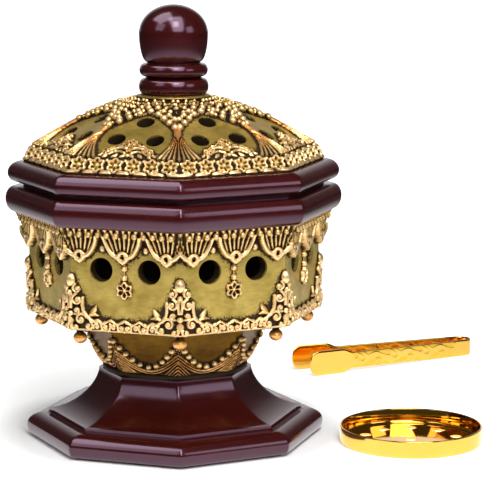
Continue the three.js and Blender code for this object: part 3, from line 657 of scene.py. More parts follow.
def beadTree():
    tree, ids, given, node = startTree("string of beads", {
        "String": ("Geometry", None), "Beads": ("Int", 10), "Radius": ("Float", 0.0015),
        "Squash": ("Vector", (1.0, 1.0, 1.0)), "Size scatter": ("Float", 0.08), "Seed": ("Int", 3),
        "Material": ("Material", None)})
    spaced = node("GeometryNodeResampleCurve", inputs={"Curve": given["String"], "Count": given["Beads"]})
    bead = node("GeometryNodeMeshUVSphere", inputs={"Segments": 12, "Rings": 8, "Radius": given["Radius"]})
    scatter = given["Size scatter"]
    chance = node("FunctionNodeRandomValue", {"data_type": "FLOAT"},
                  {2: 1 - scatter, 3: 1 + scatter, "Seed": given["Seed"]}, out=1)
    size = node("ShaderNodeVectorMath", {"operation": "SCALE"}, {0: given["Squash"], "Scale": chance})
    placed = node("GeometryNodeInstanceOnPoints", inputs={"Points": spaced, "Instance": bead, "Scale": size})
    endTree(tree, placed, given["Material"])
    return tree, ids


mouldingNodes = mouldingTree()
beadNodes = beadTree()


def evaluatedMesh(item):
    bpy.context.view_layer.update()
    return bpy.data.meshes.new_from_object(item.evaluated_get(bpy.context.evaluated_depsgraph_get()))


def grown(name, paths, nodes, settings, slotName, creaseAngle):  # paths through a tree to a mesh
    curve = bpy.data.curves.new(name, "CURVE")
    curve.dimensions = "3D"
    for path in paths:
        spline = curve.splines.new("POLY")
        spline.points.add(len(path) - 1)
        spline.points.foreach_set("co", np.c_[np.asarray(path, float) * mm, np.ones(len(path))].ravel())
    carrier = newObject(name + " path", curve)
    tree, ids = nodes
    modifier = carrier.modifiers.new("made", "NODES")
    modifier.node_group = tree
    for key, value in {**settings, "Material": finishes[slotName]}.items():
        modifier[ids[key]] = value
    mesh = evaluatedMesh(carrier)
    bpy.data.objects.remove(carrier)
    bpy.data.curves.remove(curve)
    return finishedPiece(name, mesh, slotName, creaseAngle)


def moulding(name, profile, slotName, columns=96, creaseAngle=42):
    # profile points are (radius to the flats, height), with a third value of 1 where the row is round
    path = [(point[0], (point[2] if len(point) > 2 else 0.0) / mm, point[1]) for point in profile]
    settings = {"Columns": columns, "Sides": sides, "Corner softness": 0.15 * mm}
    return grown(name, [path], mouldingNodes, settings, slotName, creaseAngle)


def beads(name, body, paths, count, radius, squash=(1, 1, 1), scatter=0.07, seed=3):
    settings = {"Beads": count, "Radius": radius * mm, "Squash": squash, "Size scatter": scatter,
                "Seed": seed}
    piece = grown(name, paths, beadNodes, settings, "gold_relief", 180)
    spot, normal = (vertexColumns(piece.data, key) for key in ("co", "normal"))
    outward = spot * (1, 1, 0)
    outward /= np.linalg.norm(outward, axis=1)[:, None]
    # painted light: each bead is lighter where it faces out and up, and darker underneath
    paintedLight = (normal * outward).sum(1) * 0.75 + normal[:, 2] * 0.55
    setValues(piece.data, tone=np.clip(0.42 + 0.60 * paintedLight, 0, 1))
    ridesOn(piece, body)


def arc(centre, radii, start, end, steps):  # part of an ellipse, in degrees
    turns = np.radians(np.linspace(start, end, steps + 1))
    return [(centre[0] + radii[0] * math.cos(t), centre[1] + radii[1] * math.sin(t)) for t in turns]


def roundRows(points):
    return [(radius, height, 1) for radius, height in points]


def roundedNose(lowerFlat, noseFlat, upperFlat, low, mid, high, steps=20):
    lower = arc((lowerFlat, mid), (noseFlat - lowerFlat, mid - low), -90, 0, steps)
    upper = arc((upperFlat, mid), (noseFlat - upperFlat, high - mid), 0, 90, steps)
    return lower + upper[1:]


# Plinth
plinth = {
    "footFlat": 65.1, "footInset": 0.5, "noseFlat": 66.5, "noseRise": 4.6, "shoulderFlat": 59,
    "shoulderRise": 10.3, "filletFlat": 56.8, "filletRise": 2.2, "soft": 0.35, "neckFlat": 34.1,
    "hollowPower": 1.7, "wall": 7, "crown": 6,
}


def plinthProfile():
    size = plinth
    noseZ = plinthFoot + size["noseRise"]
    shoulder = plinthFoot + size["shoulderRise"]
    fillet = shoulder + size["filletRise"]
    shoulderFlat, filletFlat, neckFlat = size["shoulderFlat"], size["filletFlat"], size["neckFlat"]
    soft = size["soft"]
    footFlat = size["footFlat"] - size["footInset"]
    bulge = size["noseFlat"] - size["footFlat"] + size["footInset"]
    foot = [(footFlat, plinthFoot)]
    foot += arc((footFlat, noseZ), (bulge, noseZ - plinthFoot), -75, 0, 8)
    foot += arc((shoulderFlat, noseZ), (size["noseFlat"] - shoulderFlat, shoulder - noseZ), 6, 90, 18)
    slope = []
    for i in range(37):
        turn = math.pi / 2 * (1 - i / 36)
        across, down = (wave(turn) ** (2 / size["hollowPower"]) for wave in (math.cos, math.sin))
        slope.append((filletFlat - (filletFlat - neckFlat) * across, cupFoot - (cupFoot - fillet) * down))
    step = [(shoulderFlat - soft, shoulder), (filletFlat + soft, shoulder + soft * 0.4),
            (filletFlat, shoulder + soft), (filletFlat, fillet - soft)]
    ceiling = cupFoot - size["crown"]
    mouth = shoulderFlat - size["wall"]
    inside = [(neckFlat - size["wall"], ceiling), (neckFlat, ceiling - 8),
              (mouth, shoulder - size["wall"] / 2), (mouth, plinthFoot)]
    return [*foot, *step, *slope, (screwBore, cupFoot), (screwBore, ceiling), *inside, foot[0]]


ridesOn(moulding("plinth_body", plinthProfile(), "mahogany_lacquer", 128), "burner", "plinth")
print("plinth")

# Rims
bowlRim = {"noseFlat": 74.4, "edgeFlat": 70.3, "noseRise": 6.5, "insideFlat": 57.2}
lidRim = {
    "gap": 2.0, "noseFlat": 73.3, "lowerFlat": 69.8, "upperFlat": 67.1, "noseRise": 4.1, "landFlat": 66.5,
    "spigotDrop": 4.2, "spigotFlat": 56.45, "spigotWall": 4,
}


def bowlRimProfile():
    size = bowlRim
    flats = (size["edgeFlat"], size["noseFlat"], size["edgeFlat"])
    edge = roundedNose(*flats, rimFoot, rimFoot + size["noseRise"], lidSeat)
    inside = size["insideFlat"]
    return [(inside, rimFoot), *edge, (inside, lidSeat), (inside, rimFoot)]


def lidRimProfile():
    size = lidRim
    foot, drop = lidSeat + size["gap"], lidSeat - size["spigotDrop"]
    spigot, land = size["spigotFlat"], size["landFlat"]
    inside = spigot - size["spigotWall"]
    flats = (size["lowerFlat"], size["noseFlat"], size["upperFlat"])
    edge = roundedNose(*flats, foot, foot + size["noseRise"], domeFoot)
    under = [(inside, drop), (spigot, drop), (spigot, lidSeat), (land, lidSeat), (land, foot)]
    return [*under, *edge, (inside, domeFoot), under[0]]


ridesOn(moulding("bowl_rim_moulding", bowlRimProfile(), "mahogany_lacquer", 128), "burner", "bowl_rim")
ridesOn(moulding("lid_rim_moulding", lidRimProfile(), "mahogany_lacquer", 128), "lid", "lid_rim")
print("rims")

# Knob and collar
knob = {
    "lowerRing": 16.5, "lowerHeight": 7.5, "groove": 13.7, "grooveHeight": 0.9, "upperRing": 16.2,
    "upperHeight": 6.3, "neck": 12.6, "neckHeight": 0.6, "ball": 16.3, "ballRise": 13.6, "screwDepth": 14.3,
}
collar = {"radius": 17.4, "throat": 14.2}


def ringRows(radius, inner, foot, height):
    bulge = radius - inner
    return [(inner + bulge * max(math.cos(turn), 0) ** 0.7, foot + height * (1 + math.sin(turn)) / 2)
            for turn in np.radians(np.linspace(-90, 90, 19))]


def knobProfile():  # starts round the screw's hole
    size = knob
    holeTop = knobFoot + size["screwDepth"]
    upper = knobFoot + (size["lowerHeight"] + size["grooveHeight"])
    middle = upper + (size["upperHeight"] + size["neckHeight"]) + size["ballRise"]
    rows = [(0.0, holeTop), (screwBore, holeTop), (screwBore, knobFoot)]
    rows += ringRows(size["lowerRing"], size["groove"], knobFoot, size["lowerHeight"])
    rows += ringRows(size["upperRing"], size["neck"], upper, size["upperHeight"])
    rows += arc((size["neck"], middle), (size["ball"] - size["neck"], size["ballRise"]), -90, 0, 18)
    rows += arc((0, middle), (size["ball"], knobTop - middle), 0, 90, 24)[1:-1]
    return roundRows([*rows, (0.0, knobTop)])


def collarProfile():
    size = collar
    mid = (collarFoot + knobFoot) / 2
    throat = size["throat"]
    bulge = arc((throat, mid), (size["radius"] - throat, (knobFoot - collarFoot) / 2), -90, 90, 12)
    return roundRows([(screwBore, collarFoot), *bulge, (screwBore, knobFoot), (screwBore, collarFoot)])


ridesOn(moulding("knob_body", knobProfile(), "mahogany_lacquer"), "lid", "knob")
seatRing = moulding("knob_seat_ring", collarProfile(), "gold_relief")
setValues(seatRing.data, tone=0.50)
ridesOn(seatRing, "lid", "knob_collar")
print("knob")

# Drum wall, with its vents and the dark wash round its ornament
drum = {
    "flat": 64.2, "wall": 7, "floor": 4, "ventRadius": 5.65, "ventSpread": 11.7, "ventDrop": 19.4,
    "straightWidth": 18.5, "traySeat": 34.6,
}
valance = {
    "drop": 16.3, "bandDrop": 4.9, "lipStand": 5.8, "bodyStand": 3.5, "hemStand": 2.3, "pitch": 21.2,
    "halfWidth": 9.9, "eyeRise": 3.5, "eyeRadius": 3.0, "holeRadius": 1.35, "curve": 3.2, "stripWidth": 2.3,
    "stripRise": 1.1, "ribs": 11, "ribRise": 1.0, "fanAngle": 42, "fanDrop": 9.5, "studs": 12,
    "studRadius": 1.35, "studDrop": 2.6,
}
valanceFoot = drumHeight - valance["drop"]
eyeHeight = valanceFoot + valance["eyeRise"]
drumWall = wallOf([(drum["flat"], drumFoot + drumHeight * i / 8) for i in range(9)])


def valanceStand(along):
    levels = [valanceFoot, drumHeight - valance["bandDrop"], drumHeight]
    return np.interp(along, levels, [valance[key] for key in ("hemStand", "bodyStand", "lipStand")])


def scallop(across, along):  # how far inside a scallop a point lies, and its ribs
    size = valance
    across = leaned(across, halfWidth(drumWall, along), valanceStand(along))
    x = across - np.clip(np.round(across / size["pitch"]), -1, 1) * size["pitch"]
    climb = drumHeight - 3.4 - eyeHeight + 1.2
    share = np.abs(x) / size["halfWidth"]
    slope = climb * size["curve"] / size["halfWidth"] * share ** (size["curve"] - 1)
    body = (along - eyeHeight + 1.2 - climb * share ** size["curve"]) / np.sqrt(1 + slope**2)
    reach = np.hypot(x, along - eyeHeight)
    turn = np.arctan2(x, along - eyeHeight + size["fanDrop"])
    halfFan = math.radians(size["fanAngle"])
    rib = np.clip(1 - ((((turn / (2 * halfFan / size["ribs"])) % 1) - 0.5) * 2 / 0.72) ** 2, 0, 1) ** 0.6
    rib *= (np.abs(turn) < halfFan) & (reach > size["eyeRadius"] + 0.3)
    return x, body, reach, rib


def valancePattern(across, along):
    size = valance
    eye, hole = size["eyeRadius"], size["holeRadius"]
    x, body, reach, rib = scallop(across, along)
    tip = 1.3 - np.hypot(x * 1.4, along - eyeHeight + size["eyeRise"] - 1.2)
    edge = highest(body, eye - reach, tip)
    inside = np.maximum(edge, along - (drumHeight - 3.6))
    strip = ribbon(np.abs(edge - size["stripWidth"] / 2), size["stripWidth"] / 2, size["stripRise"])
    strip = np.where((along < drumHeight - 3.0) & (strip > 0), strip, -9)
    ring = ribbon(np.abs(reach - (eye + hole) / 2), (eye - hole) / 2, 1.1)
    hollow = np.where(reach < hole, -1.1, -0.75)
    relief = highest(strip, rib * size["ribRise"] - 0.65, np.where(ring > 0, ring, -9), hollow)
    skirt = -sink + (valanceStand(along) + relief + sink) * np.clip((inside + 0.2) / 0.4, 0, 1)
    beside = np.abs(np.abs(across) - size["pitch"] / 2)
    drop = rounded(np.hypot(beside * 1.1, (along - (drumHeight - size["bandDrop"]) + 4.4) * 0.85), 1.5, 1.2)
    return np.maximum(skirt, drop * 1.6 + 0.3)


def valanceShade(across, along):
    x, body, reach, rib = scallop(across, along)
    inner = smooth((body - valance["stripWidth"]) / 0.5) * (reach > valance["eyeRadius"])
    hole = reach < valance["holeRadius"] + 0.1
    band = smooth((along - drumHeight + 3.9) / 0.6)
    return -0.5 * np.maximum(inner * (1 - 0.95 * rib), band) - 0.5 * hole - 0.05


mount = {"relief": 2.0, "ribbon": 0.76, "vine": 2.6, "plate": 0.3, "vineStart": 13.0, "vineCurls": 4}


def mountPattern(across, along):
    size = mount
    s, z = halfWidth(drumWall, along) - np.abs(across), along  # out from the corner, and up
    rise, half, vine = size["relief"], size["ribbon"], size["vine"]
    outward = [(6.0, 15.4), (5.9, 12.6), (6.4, 9.6), (8.0, 7.2), (10.4, 5.4), (13.2, 4.4)]
    forms = [
        rounded(np.hypot(s, (z - 23.4) * 0.72), 2.4, rise * 1.1),
        curl(s, z, (3.3, 19.7), 2.2, 1, 2.2, half * 0.9, rise * 0.9),
        curl(s, z, (3.5, 14.6), 2.8, 1, 2.0, half, rise),
        rounded(np.hypot(s, z - 18.2), 1.1, rise),
        curl(s, z, (2.9, 9.6), 1.8, 1, -1.9, half * 0.85, rise * 0.9),
        stem(s, z, [(0.4, 18.0), (0.7, 14.6), (0.5, 11.0)], half * 0.9, rise * 0.85),
        stem(s, z, outward, half * 1.1, rise),
        leaf(s, z, (6.8, 6.6), (12.6, 12.4), 1.9, rise * 0.6, -0.16),
        leaf(s, z, (7.4, 6.2), (14.2, 7.6), 1.3, rise * 0.8, 0.14),
        curl(s, z, (5.2, 5.6), 2.9, 1, 0.7, half, rise),
        rounded(np.hypot(s, z - 8.0), 1.5, rise * 0.9),
        leaf(s, z, (0, 2.6), (0, 7.0), 1.9, rise * 0.9),
        curl(s, z, (2.4, 1.9), 1.8, 1, 2.6, half * 0.8, rise * 0.9),
        curl(s, z, (9.0, 2.7), 2.2, -1, 2.2, half * 0.85, rise * 0.9),
        ribbon(np.abs(z - 0.7), 0.55, rise * 0.5),
    ]
    start, count = size["vineStart"], size["vineCurls"]
    for i in range(count):
        place = start + (halfWidth(drumWall, 0) - start) * i / (count - 0.6)
        up = 1 if i % 2 else -1
        link = [(place + 1.6, vine - 1.8 * up), (place + 2.6, vine), (place + 2.4, vine + 1.6 * up)]
        forms += [
            curl(s, z, (place, vine), 2.0 + 0.35 * up, up, 0.9 * up + 0.6, half * 0.8, rise * 0.85),
            stem(s, z, link, half * 0.8, rise * 0.8),
            rounded(np.hypot(s - place - 2.2, z - vine + 1.6 * up), 0.75, rise * 0.8),
        ]
    crest = 4.9 + 0.75 * np.cos(tau * (s - start) / 6.6)
    forms.append(np.where(s > 11.5, ribbon(np.abs(z - crest), 0.62, rise * 0.85), -9))
    return onPlate(highest(*forms), size["plate"], 0.6)


rosetteDrop = {"bead": 1.5, "pitch": 4.4, "cord": 0.5, "flower": 4.3, "petals": 6, "flowerRise": 1.9}


def dropPattern(across, along):
    size = rosetteDrop
    top = valanceFoot - 0.1
    first = top - size["bead"] * 1.15
    flowerZ = first - size["pitch"] - size["bead"] - size["flower"] * 0.98
    return highest(
        stem(across, along, [(0, top), (0, flowerZ)], size["cord"], 0.8),
        rounded(np.hypot(across, along - first), size["bead"], 2.3),
        rounded(np.hypot(across, along - first + size["pitch"]), size["bead"], 2.3),
        blossom(across, along, (0, flowerZ), size["flower"], size["petals"], size["flowerRise"], math.pi / 2),
    )


drumVents = [(side * drum["ventSpread"], drumHeight - drum["ventDrop"]) for side in (-1, 1)]
ringShell("drum_shell", "drum", "burner", drumWall, (72, 64), drum["wall"], drumVents, drum["ventRadius"],
          washFrom(valancePattern, mountPattern, dropPattern), drum["straightWidth"])


def groundRing(name, body, rows):  # a plain ring inside, its colour darkened
    piece = moulding(name, [*rows, rows[0]], "gold_ground")
    setValues(piece.data, wash=0.8)
    ridesOn(piece, body)


floorTop = drumFoot + drum["floor"]
floorFlat = drum["flat"] - drum["wall"] + 0.5
groundRing("drum_floor", "burner", [(drum["traySeat"], drumFoot + 0.05, 1), (floorFlat, drumFoot + 0.05),
                                    (floorFlat, floorTop), (drum["traySeat"], floorTop, 1)])
castRelief("valance_scallops", "valance", "burner", drumWall, valancePattern, (132, 44),
           (valanceFoot - 0.6, drumHeight - 0.1), shade=valanceShade)
castRelief("corner_mount_cast", "corner_mount", "burner", drumWall, mountPattern, (176, 92), (0.15, 27.9),
           copies=(0, 1), shade=0.12)
castRelief("rosette_drop_cast", "rosette_drop", "burner", drumWall, dropPattern, (216, 72),
           (drumHeight - 34.5, valanceFoot + 0.4), copies=(0.5, 0.19))


def sidePaths(wall, alongOf, shares, height):  # one path on each side, along shares of its half width
    along = alongOf(shares)
    return [onWall(wall, side, shares * halfWidth(wall, along), along, height) for side in range(sides)]


studShare = 1 - 1 / valance["studs"]
studPaths = sidePaths(drumWall, lambda shares: drumHeight - valance["studDrop"] + 0 * shares,
                      np.linspace(-studShare, studShare, 40), valance["lipStand"] - 0.7)
beads("valance_studs", "burner", studPaths, valance["studs"], valance["studRadius"], squash=(1, 1, 1.2))

ball = {"radius": 3.2, "halfHeight": 2.8, "inset": 5.5, "drop": 4.2, "neck": 1.5, "columns": 32}


def cornerBall(k):
    size = ball
    bearing = frontCorner + 2 * halfTurn * k
    reach = drum["flat"] * cornerStretch - size["inset"]
    middle = drumFoot - size["drop"]
    low = middle - size["halfHeight"]
    path = [(0.01, low), *arc((0, middle), (size["radius"], size["halfHeight"]), -84, 58, 18),
            (size["neck"], drumFoot - 0.15), (0.01, drumFoot - 0.15)]
    turns = np.linspace(0, tau, size["columns"] + 1)
    points = [(reach * math.cos(bearing) + r * math.cos(t), reach * math.sin(bearing) + r * math.sin(t), z)
              for t in turns[:-1] for r, z in path]
    faces = columnFaces(np.arange(len(turns)) % size["columns"], len(path) - 1)
    # the ball's tone is lightest at its middle and a little darker at the bottom, with painted shade growing
    # towards the neck under the drum
    tone = np.interp([z for x, y, z in points], [low, middle, drumFoot - 0.4], [0.66, 0.78, 0.10])
    values = {"tone": tone, "warm": 0.7}
    piece = meshPiece(f"corner_ball_cast_{k + 1}", points, faces, "gold_relief", values, 60, merge=True)
    ridesOn(piece, "burner", f"corner_ball_{k + 1}")


for k in range(sides):
    cornerBall(k)
print("drum and its ornament")

# Cup and garland
cup = {
    "footRadius": 35, "footThick": 2.4, "neckFlat": 31, "topFlat": 42, "bellPower": 0.66, "recess": 7.5,
    "well": 27, "floor": 9, "leastWash": 0.30,
}
garland = {
    "low": 4.2, "high": 18, "power": 2.05, "beads": 11, "beadRadius": 1.5, "strand": 1.15, "strandLow": 1.9,
    "slopePower": 0.9, "peak": 9.8, "foldPitch": 1.8, "foldLean": 1.1,
}
cupWaist = cupFoot + cup["footThick"]


def bellProfile(steps):
    climbs = [(i / steps) ** 1.5 for i in range(steps + 1)]
    flare = cup["topFlat"] - cup["neckFlat"]
    return [(cup["neckFlat"] + flare * climb ** cup["bellPower"], cupWaist + (drumFoot - cupWaist) * climb)
            for climb in climbs]


cupWall = wallOf(bellProfile(40))


def swag(share):  # height of the bead string above the waist
    return garland["low"] + (garland["high"] - garland["low"]) * np.abs(share) ** garland["power"]


def cupAlong(z):
    return np.interp(z, cupWall["z"], cupWall["along"])


def onCup(across, along):  # half width, height above the waist, share of that width, and run of the folds
    half = halfWidth(cupWall, along)
    z = at(cupWall, "z", along) - cupWaist
    return half, z, np.clip(np.abs(across) / half, 0, 1), z + garland["foldLean"] * (half - np.abs(across))


def garlandPattern(across, along):
    size = garland
    half, z, share, folded = onCup(across, along)
    line = swag(share)
    low, slopePower = size["strandLow"], size["slopePower"]
    climb, power = size["peak"] - low, 1 + slopePower
    slope = power * climb * share**slopePower / half
    beside = (z - (low + climb * share**power)) / np.sqrt(1 + slope**2)
    strands = 0.62 + 0.5 * np.cos(tau * beside / size["strand"])
    folds = 0.65 + 0.5 * np.cos(tau * folded / size["foldPitch"])
    weave = 0.38 * np.cos(tau * (across + 0.5 * z) / 1.9) * np.cos(tau * (z - 0.4 * across) / 1.7)
    carved = highest(
        np.where(np.abs(beside) < 1.5 * size["strand"], strands, -1),
        np.where((folded < size["peak"] - 2) & (z > 0.1), folds, -1),
        np.where(z < 1.2, 0.8 - np.abs(z - 0.7), -1),
        0.30 + weave,
    )
    under = line + 0.9 - z
    return np.where(under > 0, np.where(z > line - 1.7, 0.15, carved), fall * under)


def garlandShade(across, along):
    half, z, share, folded = onCup(across, along)
    valleys = np.minimum(np.cos(tau * folded / garland["foldPitch"]), 0) * (folded < garland["peak"] - 2)
    return -0.5 * smooth((z - swag(share) + 1.9) / 0.6) - 0.16 + 0.3 * valleys


ledge = drumFoot - cup["recess"]
wellFloor = cupFoot + cup["floor"]
cupProfile = [
    (0.0, cupFoot, 1), (cup["footRadius"] - 0.4, cupFoot, 1),
    *roundRows(arc((cup["footRadius"] - 0.8, cupFoot + 1.2), (0.8, 1.2), -60, 70, 8)),
    (cup["neckFlat"] + 1.2, cupWaist, 0.6), *bellProfile(30),
    *roundRows([(drum["traySeat"], drumFoot), (drum["traySeat"], ledge), (cup["well"], ledge),
                (cup["well"], cupFoot + 1.5 * cup["floor"]), (cup["well"] - cup["floor"] / 2, wellFloor),
                (screwBore, wellFloor), (0.0, wellFloor)]),
]


def cupWashAndShade(mesh):  # dark wash under the garland, and painted shade under the drum
    x, y, z = (vertexColumns(mesh, "co").astype(float) / mm).T
    bearing = (np.arctan2(y, x) - frontCorner) % (2 * halfTurn) - halfTurn
    share = np.abs(np.tan(bearing) / sideSlope)
    outside = np.hypot(x, y) * np.cos(bearing) > np.interp(z, cupWall["z"], cupWall["flat"]) - 0.3
    above = z - cupWaist - swag(np.clip(share, 0, 1))
    underGarland = 1.05 - smooth((above - 0.2) / 3.4) * 0.95
    # painted shade: darker towards the top of the cup, under the drum
    paintedDrumShade = smooth((z - drumFoot + 3.5) / 3.5) * 0.75
    wash = np.maximum(highest(underGarland, paintedDrumShade), cup["leastWash"])
    return np.where(outside | (z < cupWaist + 0.05), wash, 0.85)


cupPiece = moulding("cup_bell", cupProfile, "gold_ground", 192)
setValues(cupPiece.data, wash=cupWashAndShade(cupPiece.data), age=1.0)
ridesOn(cupPiece, "burner", "lower_cup")
castRelief("garland_drapery", "cup_garland", "burner", cupWall, garlandPattern, (104, 56),
           (0.05, cupAlong(cupWaist + garland["high"] + 1.2)), shade=garlandShade, warm=0.6)
beadShare = 1 - 0.6 / garland["beads"]
swagPaths = sidePaths(cupWall, lambda shares: cupAlong(cupWaist + swag(shares)),
                      np.linspace(-beadShare, beadShare, 60), garland["beadRadius"] * 0.62)
beads("garland_beads", "burner", swagPaths, garland["beads"], garland["beadRadius"], scatter=0.10, seed=5)
print("cup and garland")

# Dome, its openwork, sprays and blossom band
dome = {
    "footFlat": 66.1, "shoulderFlat": 61.9, "shoulderRise": 7, "crownFlat": 14.3, "power": 1.35, "wall": 5,
    "ventRadius": 4.3, "upperVent": 37, "lowerVent": 49.5, "lowerSpread": 9.4, "straightWidth": 14.2,
    "leastWash": 0.30,
}
domeShoulder = domeFoot + dome["shoulderRise"]


def vaultHeight(flat):
    share = np.maximum((flat - dome["crownFlat"]) / (dome["shoulderFlat"] - dome["crownFlat"]), 0)
    return domeShoulder + (collarFoot - domeShoulder) * (1 - share ** dome["power"])


vaultFlats = np.linspace(dome["shoulderFlat"], dome["crownFlat"], 60)
vaultProfile = [(flat, vaultHeight(flat)) for flat in vaultFlats]
vaultWall = wallOf(vaultProfile)
skirtWall = wallOf([(np.interp(i / 6, [0, 1], [dome["footFlat"], dome["shoulderFlat"]]),
                     np.interp(i / 6, [0, 1], [domeFoot, domeShoulder])) for i in range(7)])
domeWall = wallOf([(dome["footFlat"], domeFoot), *vaultProfile])
skirtLength = skirtWall["along"][-1]


def vaultAlong(flat):
    return np.interp(-flat, -vaultWall["flat"], vaultWall["along"])


cage = {
    "stemFlat": 46, "stemHalf": 1.7, "fanHalf": 11.2, "fanPower": 1.7, "flutes": 4.5, "archFlat": 29.6,
    "archDrop": 13, "archPower": 1.6, "rowStep": 4.0, "beadRadius": 1.75, "crownPitch": 4.3,
    "crownRadius": 1.12, "crownRise": 1.8,
    "blooms": ((0.0, 22.0, 2.7), (0.66, 24.0, 2.2)),  # share of the half width, distance out, radius
}


def archFlat(share, row=0):
    size = cage
    drop = (size["archDrop"] - 2.0 * row) * np.abs(share) ** size["archPower"]
    return size["archFlat"] - size["rowStep"] * row + drop


def crownBeads(across, along):
    return pebbles(across, along, cage["crownPitch"], cage["crownRadius"], cage["crownRise"])


def cagePattern(across, along):
    size = cage
    flat, half = at(vaultWall, "flat", along), halfWidth(vaultWall, along)
    stemFlat, stemHalf = size["stemFlat"], size["stemHalf"]
    s = half - np.abs(across)
    climb = np.clip((flat - stemFlat) / (dome["shoulderFlat"] - stemFlat), 0, 1)
    width = stemHalf + (size["fanHalf"] - stemHalf) * climb ** size["fanPower"]
    phase = s / width * size["flutes"]
    flute = np.clip(1 - (np.abs((phase + 0.5) % 1 - 0.5) / 0.36) ** 2, 0, 1)
    fan = np.where(s < width, 0.55 + 1.0 * flute, -fall * (s - width))
    stalk = rounded(s, stemHalf + 0.25, 1.7)
    crownEdge = archFlat(np.abs(across) / half) + 1.4 - flat
    return highest(
        np.where(crownEdge > 0, np.maximum(crownBeads(across, along), 0.08), fall * crownEdge),
        np.where(flat > stemFlat - 0.5, fan, -9),
        np.where((flat <= stemFlat) & (flat > stemFlat - 9), stalk, -9),
        *[blossom(np.abs(across) - share * out * sideSlope, (flat - out) * 1.05, (0, 0), radius, 6, 1.7)
          for share, out, radius in size["blooms"]],
    )


def cageShade(across, along):
    flat = at(vaultWall, "flat", along)
    arch = archFlat(np.abs(across) / halfWidth(vaultWall, along))
    overhead = smooth((arch + 2.2 - flat) / 1.0) * smooth((flat - arch + 6.5) / 2.0)
    gaps = smooth((0.6 - crownBeads(across, along)) / 0.6) * (flat < arch + 1)
    shade = -0.45 * np.maximum(overhead, 1.9 * gaps) - 0.10
    return shade - 0.10 * smooth((flat - 44) / 4) - 0.10 * smooth((38 - flat) / 4)


def cageWarmth(across, along):
    flat = at(vaultWall, "flat", along)
    return smooth((flat - 36) / 4) * smooth((60 - flat) / 12) * 0.9


def sprayPattern(across, along):
    x = np.abs(across)
    y = (dome["shoulderFlat"] - at(vaultWall, "flat", along)) * 1.18  # climbs from the shoulder
    rise = 1.9
    forms = [
        blossom(x, y, (0, 10.8), 2.6, 5, rise, 0.3),
        blossom(x, y, (2.9, 8.6), 1.7, 5, rise * 0.9, 0.6),
        blossom(x, y, (0, 6.2), 2.3, 6, rise),
        stem(x, y, [(1.6, 6.6), (3.6, 7.2), (5.8, 7.0), (8.2, 5.6), (10.6, 3.4)], 0.85, rise * 0.95, 0.6),
        stem(x, y, [(1.8, 3.6), (4.2, 4.7), (6.8, 4.3), (9.2, 2.6)], 0.7, rise * 0.8, 0.6),
        blossom(x, y, (7.6, 5.6), 1.9, 5, rise, 0.3),
        blossom(x, y, (11.0, 3.1), 1.7, 5, rise * 0.85, 0.9),
        leaf(x, y, (3.9, 8.8), (6.6, 9.0), 0.9, rise * 0.7),
        leaf(x, y, (9.0, 6.6), (11.4, 6.0), 0.9, rise * 0.7),
        leaf(x, y, (12.0, 2.8), (14.4, 1.4), 0.9, rise * 0.7),
        leaf(x, y, (0.6, 3.4), (3.4, 0.9), 1.2, rise * 0.65),
        leaf(x, y, (4.8, 3.2), (7.4, 0.9), 1.1, rise * 0.6),
        leaf(x, y, (9.6, 2.2), (12.0, 0.5), 0.9, rise * 0.55),
        rounded(np.hypot(x, y - 2.2), 1.1, rise * 0.75),
    ]
    return onPlate(highest(*forms), 0.3, 0.5)


band = {
    "blossoms": 6, "size": 4.3, "petals": 6, "rise": 1.7, "bowl": 0.34, "rib": 0.06, "edge": 0.16,
    "scalePitch": 8.2,
}


def bandPattern(across, along):
    size = band
    pitch = 2 * halfWidth(skirtWall, skirtLength / 2) / size["blossoms"]
    x = (across + 0.5 * pitch) / pitch
    x = (x - np.round(x)) * pitch
    middle = skirtLength * 0.57
    between = np.abs(np.abs(x) - pitch / 2)
    scaleX = (across / size["scalePitch"] + 0.5) % 1 - 0.5
    return highest(
        blossom(x, along, (0, middle), size["size"], size["petals"], size["rise"], math.pi / 6,
                size["bowl"], size["rib"], size["edge"]),
        rounded(np.hypot(between, along - skirtLength + 0.9), 0.85, 1.0),
        rounded(np.hypot(between, along - middle + 3.0), 0.8, 0.9),
        rounded(np.hypot(scaleX * size["scalePitch"] * 0.42, along - 0.9), 1.5, 1.5),
        0.28 + 0.16 * np.cos(tau * across / 1.4) * np.cos(tau * along / 1.3),
    )


def domePatterns(across, along):
    return highest(*[pattern(across, along - skirtLength) for pattern in (cagePattern, sprayPattern)])


def domeWash(across, along, *grid):
    wash = washFrom(domePatterns, reach=1.6, strength=2.4)(across, along, *grid)
    return np.where(along < skirtLength, 1.0, np.maximum(wash, dome["leastWash"]))


spread, lowerVent = dome["lowerSpread"], skirtLength + vaultAlong(dome["lowerVent"])
domeVents = [(0, skirtLength + vaultAlong(dome["upperVent"])), (-spread, lowerVent), (spread, lowerVent)]
ringShell("dome_shell", "lid_dome", "lid", domeWall, (64, 68), dome["wall"], domeVents, dome["ventRadius"],
          domeWash, dome["straightWidth"], age=0.4)
plugFoot = collarFoot - dome["wall"]
groundRing("dome_crown", "lid", roundRows([(screwBore, plugFoot), (dome["crownFlat"] - 1.5, plugFoot),
                                           (dome["crownFlat"] - 0.2, collarFoot), (screwBore, collarFoot)]))
castRelief("dome_openwork", "lid_openwork", "lid", vaultWall, cagePattern, (104, 96),
           (0.25, float(vaultAlong(18.2))), shade=cageShade, warm=cageWarmth)
castRelief("panel_spray_cast", "panel_spray", "lid", vaultWall, sprayPattern, (152, 46), (0.3, 14.6),
           copies=(0.5, 0.56), shade=-0.05)
castRelief("blossom_band", "lid_blossom_band", "lid", skirtWall, bandPattern, (150, 22),
           (0.35, skirtLength - 0.02), shade=0.42)
